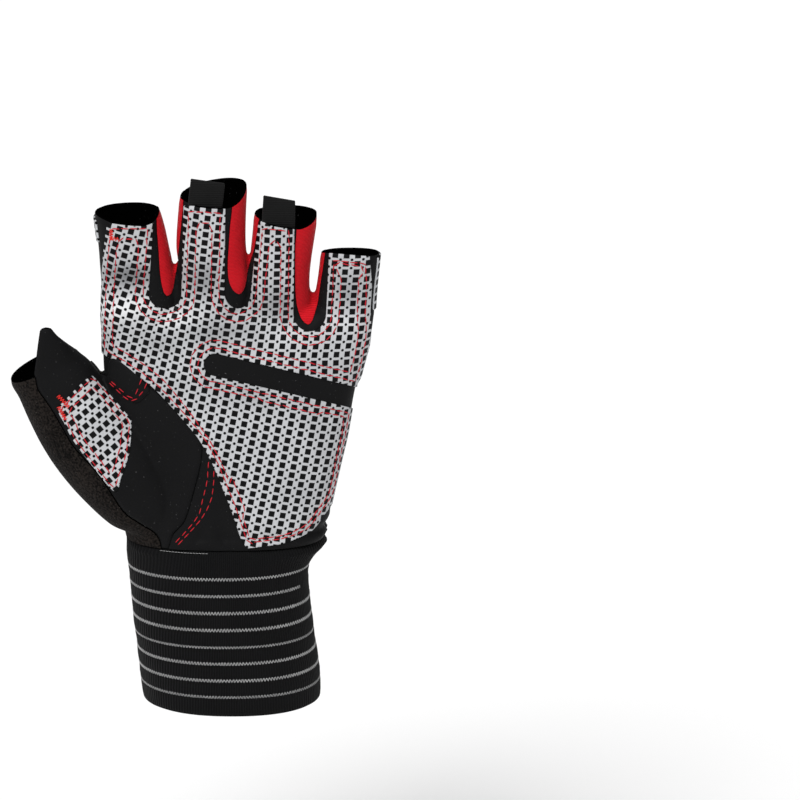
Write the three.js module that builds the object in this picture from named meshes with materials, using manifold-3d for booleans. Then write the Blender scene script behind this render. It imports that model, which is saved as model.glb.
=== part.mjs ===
// A fingerless weightlifting glove for the left hand, with a wrist wrap, open and filled out as it is worn.
// Millimetres. X runs across the palm to the little finger, Y from the palm to the back of the hand, Z up the
// fingers. The origin is the middle of the wrap's lower opening, where the forearm comes in.
import * as THREE from 'three';
import { mergeVertices } from 'three/addons/utils/BufferGeometryUtils.js';
import Module from 'manifold-3d';

// Sizes of the wrist wrap
const wrapHeight = 64.6;
const wrapWidth = 68;
const wrapDepth = 53;
const wrapWall = 2.2;

// Sizes of the hand, from the wrap's upper edge to the roots of the fingers
const palmLength = 90;
const palmWidth = 107;
const palmDepth = 40.6;
const fabricWall = 1.6;

// Sizes of the fingers: the longest one, and the usual width and depth of their tubes
const fingerLength = 48;
const fingerWidth = 24;
const fingerDepth = 22;

// Sizes of the thumb: its reach out from the palm's middle, its rise over the wrap, and its fullest section
const thumbReach = 73.2;
const thumbRise = 67.7;
const thumbWidth = 40;
const thumbDepth = 42;
const peakHeight = 17;

// Sizes of what is sewn on, and the clearance that sewn pieces keep
const gripThickness = 1;
const seamGap = 0.3;
const fourchetteBack = 7;
const tabWidth = 12.3;
const tabRise = 9.2;
const tabTuck = 4;
const tabThickness = 2.4;
const tabSlot = 0.8;
const sideGripDepth = 6.5;
const sideGripLength = 22;

// Outlines on the palm side are drawn on a plane that leans back by this angle, the way the palm faces when the
// glove is held up and tipped a little. A cutter is the outline pushed square through that plane.
const lean = THREE.MathUtils.degToRad(20);

// How finely the round forms are faceted
const handSides = 30;
const fingerSides = 18;
const thumbSides = 24;
const webSides = 14;
const farAway = 260;

// How square each section is: 2 is an ellipse, more is boxier
const handSquareness = 2.5;
const tubeSquareness = 2.25;

const palmBottom = wrapHeight + seamGap;
const knuckles = palmBottom + palmLength;

// Rows from the wrap's lower edge up. Each length is a share: up of the wrap's height, shift and width of its
// width, depth of its depth. The upper rows swell where the hand's gathered hem rolls over the wrap.
const wrapRows = [
  { up: 0, shift: 0, width: 0.994, depth: 1 },
  { up: 0.155, shift: -0.011, width: 1.01, depth: 0.985 },
  { up: 0.31, shift: -0.029, width: 1, depth: 0.955 },
  { up: 0.51, shift: -0.052, width: 1.001, depth: 0.905 },
  { up: 0.723, shift: -0.07, width: 1.001, depth: 0.84 },
  { up: 0.85, shift: -0.068, width: 1.03, depth: 0.8 },
  { up: 0.905, shift: -0.051, width: 1.07, depth: 0.785 },
  { up: 0.96, shift: -0.03, width: 1.125, depth: 0.79 },
  { up: 1, shift: -0.038, width: 1.115, depth: 0.775 },
];

// Rows of the palm from the wrap up: up is a share of the palm's length, shift and width of its width, depth of
// its depth. The first rows are the gathers above the wrap, the last ones close the form between the fingers.
const palmRows = [
  { up: 0, shift: -0.021, width: 0.714, depth: 1 },
  { up: 0.026, shift: -0.019, width: 0.722, depth: 1.01 },
  { up: 0.052, shift: -0.023, width: 0.706, depth: 0.965 },
  { up: 0.096, shift: -0.018, width: 0.727, depth: 0.975 },
  { up: 0.149, shift: -0.013, width: 0.75, depth: 0.97 },
  { up: 0.334, shift: -0.009, width: 0.814, depth: 0.935 },
  { up: 0.454, shift: -0.005, width: 0.85, depth: 0.89 },
  { up: 0.657, shift: -0.002, width: 0.899, depth: 0.81 },
  { up: 0.829, shift: 0.011, width: 0.945, depth: 0.715 },
  { up: 0.934, shift: 0.022, width: 0.965, depth: 0.63 },
  { up: 1, shift: 0.028, width: 0.945, depth: 0.49 },
  { up: 1.03, shift: 0.028, width: 0.86, depth: 0.2 },
];

// The fingers: rootAt and rimAt are places across the palm as shares of its width; root, rim and depth are shares
// of the fingers' usual width and depth; length is a share of the longest. backRise and sideRise are the slopes of
// the rim to the back and to the little finger's side.
const fingers = [
  { rootAt: -0.338, rimAt: -0.366, root: 1.1, rim: 1.05, depth: 1, length: 0.833, backRise: 0, sideRise: 0.05 },
  { rootAt: -0.086, rimAt: -0.058, root: 1.15, rim: 1.01, depth: 1, length: 1, backRise: 0.12, sideRise: 0.18 },
  { rootAt: 0.164, rimAt: 0.205, root: 1.075, rim: 0.975, depth: 1, length: 0.8125, backRise: 0, sideRise: 0 },
  { rootAt: 0.402, rimAt: 0.432, root: 1.04, rim: 0.89, depth: 0.72, length: 0.49, backRise: -0.1, sideRise: 0 },
];
const [indexFinger, middleFinger, ringFinger, littleFinger] = fingers;

// The webs between the fingers: at and width are shares of the palm's width, top of the longest finger's length
// above the knuckles, depth of the fingers' depth, height of the longest finger's length.
const webs = [
  { name: 'index_middle', at: -0.215, top: 0.36, width: 0.25, depth: 1, height: 0.8 },
  { name: 'middle_ring', at: 0.043, top: 0.36, width: 0.25, depth: 1, height: 0.8 },
  { name: 'ring_little', at: 0.286, top: 0.11, width: 0.25, depth: 0.84, height: 0.6 },
];

// Rows of the thumb from deep in the palm out to its rim and on through the peak. out is a share of the thumb's
// reach, up of its rise, width and depth of its fullest section, front of the palm's depth; turn is in degrees.
const thumbRows = [
  { out: 0.3, up: -0.06, width: 0.74, depth: 0.86, front: 0, turn: 45 },
  { out: 0.4, up: 0.11, width: 0.8, depth: 0.97, front: 0.03, turn: 43 },
  { out: 0.473, up: 0.253, width: 0.87, depth: 1, front: 0.04, turn: 40 },
  { out: 0.58, up: 0.42, width: 0.95, depth: 0.96, front: 0.03, turn: 37 },
  { out: 0.681, up: 0.563, width: 0.98, depth: 0.88, front: 0.02, turn: 34.5 },
  { out: 0.78, up: 0.69, width: 0.9, depth: 0.78, front: 0.01, turn: 34 },
  { out: 0.865, up: 0.813, width: 0.8, depth: 0.69, front: 0, turn: 33 },
  { out: 0.94, up: 0.92, width: 0.68, depth: 0.62, front: 0, turn: 29 },
  { out: 1, up: 1, width: 0.6, depth: 0.57, front: 0, turn: 26.5 },
];
const peakRow = { out: 0.99, up: 1.27, width: 0.56, depth: 0.55, front: 0, turn: 12 };

// Outlines on the leaning plane. across is a share of half the palm's width; up is a share of the palm's length,
// counted from where the plane's lower edge passes the wrap's upper rim.
const gripInner = [
  { across: -0.899, up: 0.822 },
  { across: -0.71, up: 0.754 },
  { across: -0.564, up: 0.69 },
  { across: -0.449, up: 0.621 },
  { across: -0.32, up: 0.534 },
  { across: -0.217, up: 0.457 },
  { across: -0.131, up: 0.362 },
  { across: -0.058, up: 0.259 },
  { across: 0.015, up: 0.147 },
  { across: 0.073, up: 0.043 },
  { across: 0.116, up: 0.004 },
  { across: 0.25, up: 0.008 },
  { across: 0.376, up: 0.026 },
  { across: 0.521, up: 0.061 },
  { across: 0.594, up: 0.096 },
  { across: 0.667, up: 0.156 },
  { across: 0.725, up: 0.207 },
  { across: 0.753, up: 0.25 },
  { across: 0.798, up: 0.379 },
  { across: 0.841, up: 0.491 },
  { across: 0.877, up: 0.583 },
];
const gripOuter = [
  { across: 0.895, up: 0.684 },
  { across: 0.95, up: 0.781 },
  { across: 0.987, up: 0.901 },
  { across: 0.991, up: 1.009 },
  { across: 1.009, up: 1.117 },
];
const gripIndexSide = [
  { across: -0.865, up: 1.376 },
  { across: -0.882, up: 1.311 },
  { across: -0.901, up: 1.2 },
  { across: -0.91, up: 1.093 },
  { across: -0.921, up: 0.867 },
];

// The slot in the grip overlay: its two long edges and the middle of its round end
const slotLower = { across: 0.869, up: 0.592 };
const slotUpper = { across: 0.895, up: 0.684 };
const slotEnd = { across: -0.112, up: 0.778 };
const slotHalf = 0.049;

// The cuts that the grip overlay and the black palm leave round each web, from the left edge over the round
// bottom to the right edge. Sides are shares of half the palm's width, heights shares of the palm's length.
const gripCuts = [
  { leftTop: -0.535, leftLow: -0.574, rightLow: -0.348, rightTop: -0.335, low: 1.075, bottom: 1.012 },
  { leftTop: -0.021, leftLow: -0.034, rightLow: 0.155, rightTop: 0.18, low: 1.075, bottom: 1.012 },
  { leftTop: 0.465, leftLow: 0.456, rightLow: 0.671, rightTop: 0.708, low: 0.99, bottom: 0.915 },
];
const webCuts = [
  { leftTop: -0.52, leftLow: -0.49, rightLow: -0.368, rightTop: -0.335, low: 1.125, bottom: 1.06 },
  { leftTop: 0.012, leftLow: -0.002, rightLow: 0.155, rightTop: 0.212, low: 1.12, bottom: 1.068 },
  { leftTop: 0.495, leftLow: 0.493, rightLow: 0.632, rightTop: 0.668, low: 1.0, bottom: 0.942 },
];
const cutTop = 1.72;
const cutArcSteps = 6;

// Outlines of the thumb, on the same plane. Their heights are shares of the thumb's rise, so that they go with it.
// The seam of the smooth thumb panel on the palm, from the web of the thumb down to the wrap
const hemShare = -0.08;
const thumbSeam = [
  { across: -0.895, up: 0.9758 },
  { across: -0.802, up: 0.9306 },
  { across: -0.576, up: 0.9027 },
  { across: -0.239, up: 0.6634 },
  { across: -0.204, up: 0.5716 },
  { across: -0.217, up: 0.4586 },
  { across: -0.26, up: 0.3217 },
  { across: -0.322, up: 0.1648 },
  { across: -0.38, up: 0.105 },
  { across: -0.422, up: 0.0612 },
  { across: -0.47, up: hemShare },
];

// The seam between the terry and the smooth panel, from the thumb's rim down to the wrap
const terrySeam = [
  { across: -1.395, up: 1.0369 },
  { across: -1.393, up: 0.9718 },
  { across: -1.372, up: 0.892 },
  { across: -1.322, up: 0.8335 },
  { across: -1.262, up: 0.7617 },
  { across: -1.193, up: 0.6674 },
  { across: -1.11, up: 0.561 },
  { across: -0.935, up: 0.4055 },
  { across: -0.772, up: 0.21 },
  { across: -0.647, up: 0.1343 },
  { across: -0.525, up: 0.0651 },
  { across: -0.5, up: hemShare },
];

// The peak of the smooth thumb panel, from the rim's terry seam over the top to the web side. rise is a share of
// the peak's height over the rim's middle, measured on the leaning plane.
const peakOutline = [
  { across: -1.396, rise: -0.19 },
  { across: -1.381, rise: 0.09 },
  { across: -1.351, rise: 0.67 },
  { across: -1.34, rise: 0.77 },
  { across: -1.305, rise: 0.81 },
  { across: -1.264, rise: 0.79 },
  { across: -1.226, rise: 0.59 },
  { across: -1.176, rise: 0.36 },
  { across: -1.12, rise: 0.24 },
  { across: -0.97, rise: 0.15 },
];

// The seam of the terry on the back of the hand, on an upright plane: up is a share of the thumb's rise, from the
// wrap's upper rim
const backSeam = [
  { across: -0.93, up: 0.9838 },
  { across: -0.74, up: 0.7976 },
  { across: -0.62, up: 0.5318 },
  { across: -0.56, up: 0.2659 },
  { across: -0.53, up: -0.1329 },
];

const thumbGripOutline = [
  { across: -1.009, up: 0.9572 },
  { across: -0.95, up: 0.9386 },
  { across: -0.727, up: 0.7445 },
  { across: -0.708, up: 0.6993 },
  { across: -0.718, up: 0.577 },
  { across: -0.738, up: 0.4945 },
  { across: -0.779, up: 0.4041 },
  { across: -0.824, up: 0.327 },
  { across: -0.968, up: 0.456 },
  { across: -1.11, up: 0.6062 },
  { across: -1.174, up: 0.7019 },
  { across: -1.221, up: 0.7817 },
  { across: -1.163, up: 0.8402 },
];

const tongueOutline = [
  { across: -0.86, up: 0.9532 },
  { across: -0.766, up: 0.8787 },
  { across: -0.684, up: 0.8242 },
  { across: -0.636, up: 0.8309 },
  { across: -0.607, up: 0.8614 },
  { across: -0.574, up: 0.9146 },
  { across: -0.71, up: 1.0196 },
  { across: -0.841, up: 1.0715 },
];

const wasm = await Module();
wasm.setup();

// A solid from a closed three.js geometry
function solidOf(geometry) {
  const bare = geometry.clone();
  bare.deleteAttribute('normal');
  bare.deleteAttribute('uv');
  const merged = mergeVertices(bare);
  return new wasm.Manifold(new wasm.Mesh({
    numProp: 3,
    vertProperties: new Float32Array(merged.attributes.position.array),
    triVerts: new Uint32Array(merged.index.array),
  }));
}

// A named mesh from a solid. Only its largest body is kept, so that no crumb of a cut stays behind.
function meshOf(name, solid, material) {
  const bodies = solid.decompose();
  const largest = bodies.reduce((best, body) => (body.volume() > best.volume() ? body : best));
  const { vertProperties, triVerts } = largest.getMesh();
  const geometry = new THREE.BufferGeometry();
  geometry.setAttribute('position', new THREE.BufferAttribute(new Float32Array(vertProperties), 3));
  geometry.setIndex(new THREE.BufferAttribute(new Uint32Array(triVerts), 1));
  geometry.computeVertexNormals();
  const mesh = new THREE.Mesh(geometry, material);
  mesh.name = name;
  return mesh;
}

const unite = (solids) => solids.reduce((whole, solid) => whole.add(solid));
const squared = (value, squareness) => Math.sign(value) * Math.abs(value) ** (2 / squareness);

// A closed tube through sections, each with a centre, half width, half depth, a turn about Y and two slopes
function loft(sections, sides, squareness) {
  const geometry = new THREE.CylinderGeometry(1, 1, 1, sides, sections.length - 1);
  const position = geometry.attributes.position;
  for (let i = 0; i < position.count; i += 1) {
    const section = sections[Math.round((position.getY(i) + 0.5) * (sections.length - 1))];
    const wide = section.halfWidth * squared(position.getX(i), squareness);
    const deep = -section.halfDepth * squared(position.getZ(i), squareness);
    const rise = wide * section.sideSlope + deep * section.backSlope;
    position.setXYZ(
      i,
      section.x + wide * Math.cos(section.turn),
      section.y + deep,
      section.z + wide * Math.sin(section.turn) + rise,
    );
  }
  return solidOf(geometry);
}

function section(x, y, z, halfWidth, halfDepth, turn = 0, sideSlope = 0, backSlope = 0) {
  return { x, y, z, halfWidth, halfDepth, turn, sideSlope, backSlope };
}

// The forms of the hand. grow moves their surface out, or in where it is negative.
function palmForm(grow) {
  const last = palmRows.length - 1;
  const sections = palmRows.map((row, i) => section(
    row.shift * palmWidth,
    0,
    palmBottom + row.up * palmLength + (i === last ? grow : 0) - (i === 0 ? fabricWall : 0),
    (row.width * palmWidth) / 2 + grow,
    Math.max((row.depth * palmDepth) / 2 + grow, fabricWall),
  ));
  return loft(sections, handSides, handSquareness);
}

const fingerRim = (finger) => knuckles + finger.length * fingerLength;

// A finger's section at a share of its length above the knuckles
function fingerSection(finger, share, grow, extra = 0) {
  const clamped = Math.max(share, 0);
  const at = THREE.MathUtils.lerp(finger.rootAt, finger.rimAt, clamped) * palmWidth;
  const width = THREE.MathUtils.lerp(finger.root, finger.rim, clamped) * fingerWidth;
  const sink = share < 0 ? 0.86 : 1;
  return section(
    at,
    0,
    knuckles + share * finger.length * fingerLength + extra,
    (width * sink) / 2 + grow,
    (finger.depth * fingerDepth * sink) / 2 + grow,
    0,
    clamped * finger.sideRise,
    clamped * finger.backRise,
  );
}

// A finger's tube from well inside the palm to past its rim by over
function fingerForm(finger, grow, over = 0) {
  const buried = -(0.3 * palmLength) / (finger.length * fingerLength);
  const sections = [buried, 0, 0.35, 0.7, 1].map((share) => fingerSection(finger, share, grow));
  if (over > 0) sections.push(fingerSection(finger, 1, grow, over));
  return loft(sections, fingerSides, tubeSquareness);
}

function webForm(web, grow) {
  const height = (web.height * fingerLength) / 2;
  const geometry = new THREE.SphereGeometry(1, webSides, webSides / 2);
  geometry.scale(
    (web.width * palmWidth) / 2 + grow,
    (web.depth * fingerDepth) / 2 + grow,
    height + grow,
  );
  geometry.translate(web.at * palmWidth, 0, knuckles + web.top * fingerLength - height);
  return solidOf(geometry);
}

function thumbForm(rows, grow, over = 0) {
  const thumbSection = (row, past) => {
    const turn = THREE.MathUtils.degToRad(row.turn);
    return section(
      -row.out * thumbReach - past * Math.sin(turn),
      -row.front * palmDepth,
      palmBottom + row.up * thumbRise + past * Math.cos(turn),
      (row.width * thumbWidth) / 2 + grow,
      (row.depth * thumbDepth) / 2 + grow,
      turn,
    );
  };
  const sections = rows.map((row) => thumbSection(row, 0));
  if (over > 0) sections.push(thumbSection(rows[rows.length - 1], over));
  return loft(sections, thumbSides, tubeSquareness);
}

// The whole hand as one form, with the thumb out to its rim or on through the peak
function handForm(grow, over, rows) {
  return unite([
    palmForm(grow),
    ...fingers.map((finger) => fingerForm(finger, grow, over)),
    ...webs.map((web) => webForm(web, grow)),
    thumbForm(rows, grow, over),
  ]);
}

// A box from its six bounds
function box(x0, x1, y0, y1, z0, z1) {
  const geometry = new THREE.BoxGeometry(x1 - x0, y1 - y0, z1 - z0);
  geometry.translate((x0 + x1) / 2, (y0 + y1) / 2, (z0 + z1) / 2);
  return solidOf(geometry);
}

const between = (y0, y1) => box(-farAway, farAway, y0, y1, -farAway, farAway);
const above = (z) => box(-farAway, farAway, -farAway, farAway, z, farAway);

// The leaning plane's lower edge passes the wrap's upper rim at this height
const planeFoot = palmBottom * Math.cos(lean) - (palmDepth / 2) * Math.sin(lean);
const onPlane = (point, length = palmLength) => new THREE.Vector2(
  (point.across * palmWidth) / 2,
  planeFoot + point.up * length,
);
const onThumb = (point) => onPlane(point, thumbRise);

// An outline moved out by a clearance, corner by corner
function grown(points, by) {
  const ring = points.slice();
  if (THREE.ShapeUtils.area(ring) < 0) ring.reverse();
  return ring.map((point, i) => {
    const before = ring[(i + ring.length - 1) % ring.length];
    const after = ring[(i + 1) % ring.length];
    const a = point.clone().sub(before).normalize();
    const b = after.clone().sub(point).normalize();
    const normal = new THREE.Vector2(a.y + b.y, -a.x - b.x).normalize();
    const stretch = Math.max(normal.x * a.y - normal.y * a.x, 0.4);
    return point.clone().addScaledVector(normal, by / stretch);
  });
}

// A cutter: an outline pushed through the glove, square to the plane that leans by tilt
function cutter(points, tilt = lean) {
  const push = { depth: 2 * farAway, bevelEnabled: false };
  const geometry = new THREE.ExtrudeGeometry(new THREE.Shape(points), push);
  geometry.translate(0, 0, -farAway);
  geometry.applyMatrix4(new THREE.Matrix4().makeBasis(
    new THREE.Vector3(1, 0, 0),
    new THREE.Vector3(0, Math.sin(tilt), Math.cos(tilt)),
    new THREE.Vector3(0, -Math.cos(tilt), Math.sin(tilt)),
  ));
  return solidOf(geometry);
}

// A cut round a web: down the left edge, round the bottom and up the right edge
function cutPoints(cut) {
  const left = onPlane({ across: cut.leftLow, up: cut.low });
  const right = onPlane({ across: cut.rightLow, up: cut.low });
  const bottom = onPlane({ across: cut.leftLow, up: cut.bottom });
  const middle = (left.x + right.x) / 2;
  const radius = (right.x - left.x) / 2;
  const arc = [];
  for (let i = 0; i <= cutArcSteps; i += 1) {
    const angle = Math.PI + (Math.PI * i) / cutArcSteps;
    arc.push(new THREE.Vector2(
      middle + radius * Math.cos(angle),
      left.y + (left.y - bottom.y) * Math.sin(angle),
    ));
  }
  return [onPlane({ across: cut.leftTop, up: cutTop }), ...arc, onPlane({ across: cut.rightTop, up: cutTop })];
}

// The grip overlay's outline: up the index finger's side, over the fingers and webs, down the outer edge and
// round the slot, then along the heel back to the thumb's web
function gripPoints() {
  const points = gripIndexSide.slice().reverse().map((point) => onPlane(point));
  points.push(onPlane({ across: gripIndexSide[0].across, up: cutTop }));
  gripCuts.forEach((cut) => points.push(...cutPoints(cut)));
  const outer = gripOuter[gripOuter.length - 1].across;
  points.push(onPlane({ across: outer, up: cutTop }));
  points.push(...gripOuter.slice().reverse().map((point) => onPlane(point)));
  const end = onPlane(slotEnd);
  const radius = slotHalf * palmLength;
  const upper = onPlane(slotUpper);
  const facing = Math.atan2(end.y - upper.y + radius, end.x - upper.x);
  for (let i = 0; i <= cutArcSteps; i += 1) {
    const angle = facing - Math.PI / 2 + (Math.PI * i) / cutArcSteps;
    points.push(new THREE.Vector2(end.x + radius * Math.cos(angle), end.y + radius * Math.sin(angle)));
  }
  points.push(onPlane(slotLower));
  points.push(...gripInner.slice().reverse().map((point) => onPlane(point)));
  return points;
}

// The thumb's outlines. Past the web they pass clear of the index finger's side.
const rimMiddle = (palmBottom + thumbRise) * Math.cos(lean);
const peakPoint = (point) => new THREE.Vector2(
  (point.across * palmWidth) / 2,
  rimMiddle + point.rise * peakHeight,
);
const webCorner = peakPoint(peakOutline[peakOutline.length - 1]);
const hemCorner = new THREE.Vector2(-farAway, planeFoot + hemShare * thumbRise);
const topCorner = new THREE.Vector2(-farAway, farAway);
const besideIndex = new THREE.Vector2(
  indexFinger.rimAt * palmWidth - (indexFinger.rim * fingerWidth) / 2 - gripThickness,
  farAway,
);
const upright = (point) => new THREE.Vector2(
  (point.across * palmWidth) / 2,
  palmBottom + point.up * thumbRise,
);
const terryPoints = [
  ...terrySeam.map(onThumb),
  hemCorner,
  new THREE.Vector2(-farAway, onThumb(terrySeam[0]).y),
];
const smoothPoints = [
  ...peakOutline.map(peakPoint),
  ...thumbSeam.map(onThumb),
  ...terrySeam.slice(1).reverse().map(onThumb),
];
const thumbFrontPoints = [...thumbSeam.map(onThumb), hemCorner, topCorner, besideIndex, webCorner];
const thumbBackPoints = [...backSeam.map(upright), hemCorner, topCorner, besideIndex];

// Solids that the panels are cut from
const aboveWrap = above(palmBottom);
const rimOver = 4 * fabricWall;
const peakRows = [...thumbRows, peakRow];
const inner = handForm(-fabricWall, rimOver, thumbRows);
const shell = handForm(0, 0, thumbRows).subtract(inner).intersect(aboveWrap);
const peakShell = handForm(0, 0, peakRows)
  .subtract(handForm(-fabricWall, rimOver, peakRows))
  .intersect(aboveWrap);

const palmSide = between(-farAway, -seamGap / 2);
const backSide = between(seamGap / 2, farAway);
const webCutters = (grow) => webCuts.map((cut) => cutter(grown(cutPoints(cut), grow))
  .intersect(between(-farAway, fourchetteBack + grow)));

// A skin over the hand, for what is sewn onto it
const skin = handForm(seamGap + gripThickness, 0, thumbRows)
  .subtract(handForm(seamGap, rimOver, thumbRows))
  .intersect(aboveWrap);

// Finishes
function finish(color, roughness, metalness = 0) {
  return new THREE.MeshStandardMaterial({ color, roughness, metalness });
}
const smoothBlack = finish(0x161616, 0.6);
const backBlack = finish(0x1a1a1b, 0.8);
const elasticBlack = finish(0x141415, 0.9);
const terryBlack = finish(0x2b2421, 1);
const red = finish(0xd11a22, 0.6);
const grip = finish(0xc9ccd0, 0.35, 0.2);
const webbing = finish(0x1c1c1c, 0.75);

// The wrist wrap, a tube open at both ends
function wristWrap() {
  const rows = (grow) => wrapRows.map((row) => section(
    row.shift * wrapWidth,
    0,
    row.up * wrapHeight,
    (row.width * wrapWidth) / 2 + grow,
    (row.depth * wrapDepth) / 2 + grow,
  ));
  const hollow = rows(-wrapWall);
  hollow[0].z -= wrapWall;
  hollow[hollow.length - 1].z += wrapWall;
  return loft(rows(0), handSides, tubeSquareness).subtract(loft(hollow, handSides, tubeSquareness));
}

// The panels of the hand and the thumb
function palmBase() {
  let panel = shell.intersect(palmSide).subtract(cutter(grown(thumbFrontPoints, seamGap)));
  webCutters(seamGap).forEach((solid) => { panel = panel.subtract(solid); });
  return panel;
}

function handBack() {
  let panel = shell.intersect(backSide).subtract(cutter(grown(thumbBackPoints, seamGap), 0));
  webCutters(seamGap).forEach((solid) => { panel = panel.subtract(solid); });
  return panel;
}

function fourchette(i) {
  return shell.intersect(webCutters(0)[i]);
}

function thumbPalm() {
  return peakShell.intersect(palmSide).intersect(cutter(smoothPoints));
}

function thumbBack() {
  const front = shell.intersect(between(-farAway, seamGap / 2))
    .intersect(cutter(terryPoints)).subtract(cutter(grown(smoothPoints, seamGap)));
  const back = shell.intersect(backSide).intersect(cutter(thumbBackPoints, 0));
  return front.add(back);
}

// What is sewn on
const gripCutter = (grow) => cutter(grown(gripPoints(), grow));
const palmGrip = () => skin.intersect(between(-farAway, -gripThickness)).intersect(gripCutter(0));
const thumbGrip = () => skin.intersect(palmSide).intersect(cutter(thumbGripOutline.map(onThumb)));
const webTongue = () => skin.intersect(palmSide)
  .intersect(cutter(tongueOutline.map(onThumb))).subtract(gripCutter(seamGap));

// A pull tab: a loop of webbing whose two ends are sewn inside a finger's front rim. share is its place across
// the rim, as a share of the rim's half width.
function pullTab(finger, share) {
  const rim = fingerRim(finger) - (finger.backRise * finger.depth * fingerDepth) / 2;
  const middle = finger.rimAt * palmWidth + (share * finger.rim * fingerWidth) / 2;
  const seat = -fabricWall - seamGap;
  const ply = (tabThickness - tabSlot) / 2;
  const layer = (outer, thickness, halfWidth, low, high) => fingerForm(finger, outer, 2 * tabRise)
    .subtract(fingerForm(finger, outer - thickness, 2 * tabRise + fabricWall))
    .intersect(box(middle - halfWidth, middle + halfWidth, -farAway, 0, low, high));
  const loop = layer(seat, tabThickness, tabWidth / 2, rim - tabTuck, rim + tabRise);
  return loop.subtract(layer(seat - ply, tabSlot, tabWidth, rim + ply, rim + tabRise - ply));
}

// A strip of grip on a finger's outer side, down from its rim
function sideGrip(finger, side, length) {
  const middle = finger.rimAt * palmWidth;
  const rim = fingerRim(finger);
  return skin.intersect(box(
    side < 0 ? -farAway : middle,
    side < 0 ? middle : farAway,
    seamGap - gripThickness,
    sideGripDepth,
    rim - length,
    farAway,
  ));
}

const glove = new THREE.Group();
glove.name = 'weightlifting_glove';
glove.add(
  meshOf('wrist_wrap', wristWrap(), elasticBlack),
  meshOf('palm_base', palmBase(), smoothBlack),
  meshOf('hand_back', handBack(), backBlack),
  meshOf('thumb_palm', thumbPalm(), smoothBlack),
  meshOf('thumb_back', thumbBack(), terryBlack),
  meshOf('palm_grip', palmGrip(), grip),
  meshOf('thumb_grip', thumbGrip(), grip),
  meshOf('thumb_web_tongue', webTongue(), smoothBlack),
  meshOf('pull_tab_middle', pullTab(middleFinger, -0.24), webbing),
  meshOf('pull_tab_ring', pullTab(ringFinger, -0.3), webbing),
  meshOf('side_grip_index', sideGrip(indexFinger, -1, sideGripLength / 2), grip),
  meshOf('side_grip_little', sideGrip(littleFinger, 1, sideGripLength), grip),
);
webs.forEach((web, i) => glove.add(meshOf(`fourchette_${web.name}`, fourchette(i), red)));

export default glove;
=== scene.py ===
# %% [markdown]
# A fingerless weightlifting glove with a wrist wrap. Cloth panels are sewn into a hand, a silver grip cloth
# is stitched over the palm, and a striped elastic holds the wrist. The lesson makes one smooth hand form
# first, cuts the panels out of it along their seams, gives each cloth its thickness, and then sews it all
# with thread.

# %% Load the frame
import math
import bpy
import numpy as np
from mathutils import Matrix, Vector
from mathutils.bvhtree import BVHTree
from mathutils.kdtree import KDTree


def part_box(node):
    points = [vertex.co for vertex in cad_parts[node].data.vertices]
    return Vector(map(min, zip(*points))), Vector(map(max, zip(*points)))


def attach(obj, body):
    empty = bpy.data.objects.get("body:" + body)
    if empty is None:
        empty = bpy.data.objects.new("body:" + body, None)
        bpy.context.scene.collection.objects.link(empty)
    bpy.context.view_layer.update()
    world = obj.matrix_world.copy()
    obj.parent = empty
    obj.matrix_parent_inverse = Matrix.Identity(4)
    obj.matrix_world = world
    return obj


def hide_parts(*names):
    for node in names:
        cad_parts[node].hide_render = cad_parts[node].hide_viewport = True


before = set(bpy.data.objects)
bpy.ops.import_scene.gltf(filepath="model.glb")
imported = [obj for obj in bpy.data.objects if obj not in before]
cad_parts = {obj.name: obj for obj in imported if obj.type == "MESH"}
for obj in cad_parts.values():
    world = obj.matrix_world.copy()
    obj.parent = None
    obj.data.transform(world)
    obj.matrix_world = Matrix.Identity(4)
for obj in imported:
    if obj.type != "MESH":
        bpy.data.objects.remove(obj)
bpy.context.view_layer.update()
MM = 0.001
WRAP_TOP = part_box("wrist_wrap")[1].z / MM
print("nodes:", len(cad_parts), "wrap top:", round(WRAP_TOP, 1), "mm")

# %% [markdown]
# Shapes are worked out in millimetres and turned into metres when a mesh is made. A table has named
# columns, and a smooth line through its rows fills in what lies between them. The palm side is drawn on a
# plane that leans back by the same angle as the camera looks down, so an outline on it has two numbers,
# across and up.

# %% Tables and flowing lines
LEAN = math.radians(20)
FORM_STEP = 1.4


def table(columns, *rows):
    """A short table with named columns, as arrays by name."""
    return dict(zip(columns.split(), np.array(rows, float).T))


def flowing(points, step, closed=False):
    """Points about step apart on a smooth line through the given ones."""
    p = np.array(points, float)
    p = np.vstack([p[-1], p, p[:2]]) if closed else np.vstack([2 * p[0] - p[1], p, 2 * p[-1] - p[-2]])
    line = []
    for a, b, c, d in zip(p, p[1:], p[2:], p[3:]):
        count = max(int(np.linalg.norm(c - b) / step), 1)
        t = (np.arange(count) / count)[:, None]
        bend, swing = 2 * a - 5 * b + 4 * c - d, 3 * b - a - 3 * c + d
        line.append(0.5 * (2 * b + (c - a) * t + bend * t**2 + swing * t**3))
    if not closed:
        line.append(p[-2:-1])
    return np.vstack(line)


def leaning(v):
    """A point's two numbers on the leaning plane."""
    return np.column_stack([v[:, 0], v[:, 2] * math.cos(LEAN) + v[:, 1] * math.sin(LEAN)])


print("a flowing line through three points:", len(flowing([(0, 0), (9, 5), (20, 0)], 1.0)), "points")

# %% [markdown]
# The hand is drawn by what can be seen and measured of it. Each row of a table gives a height z, the left
# and right edges there and half the depth. The thumb leans, so its rows also have a place and a turn. A
# form could be sculpted or scanned too, but rows like these are easy to check against the real glove and to
# change.

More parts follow.
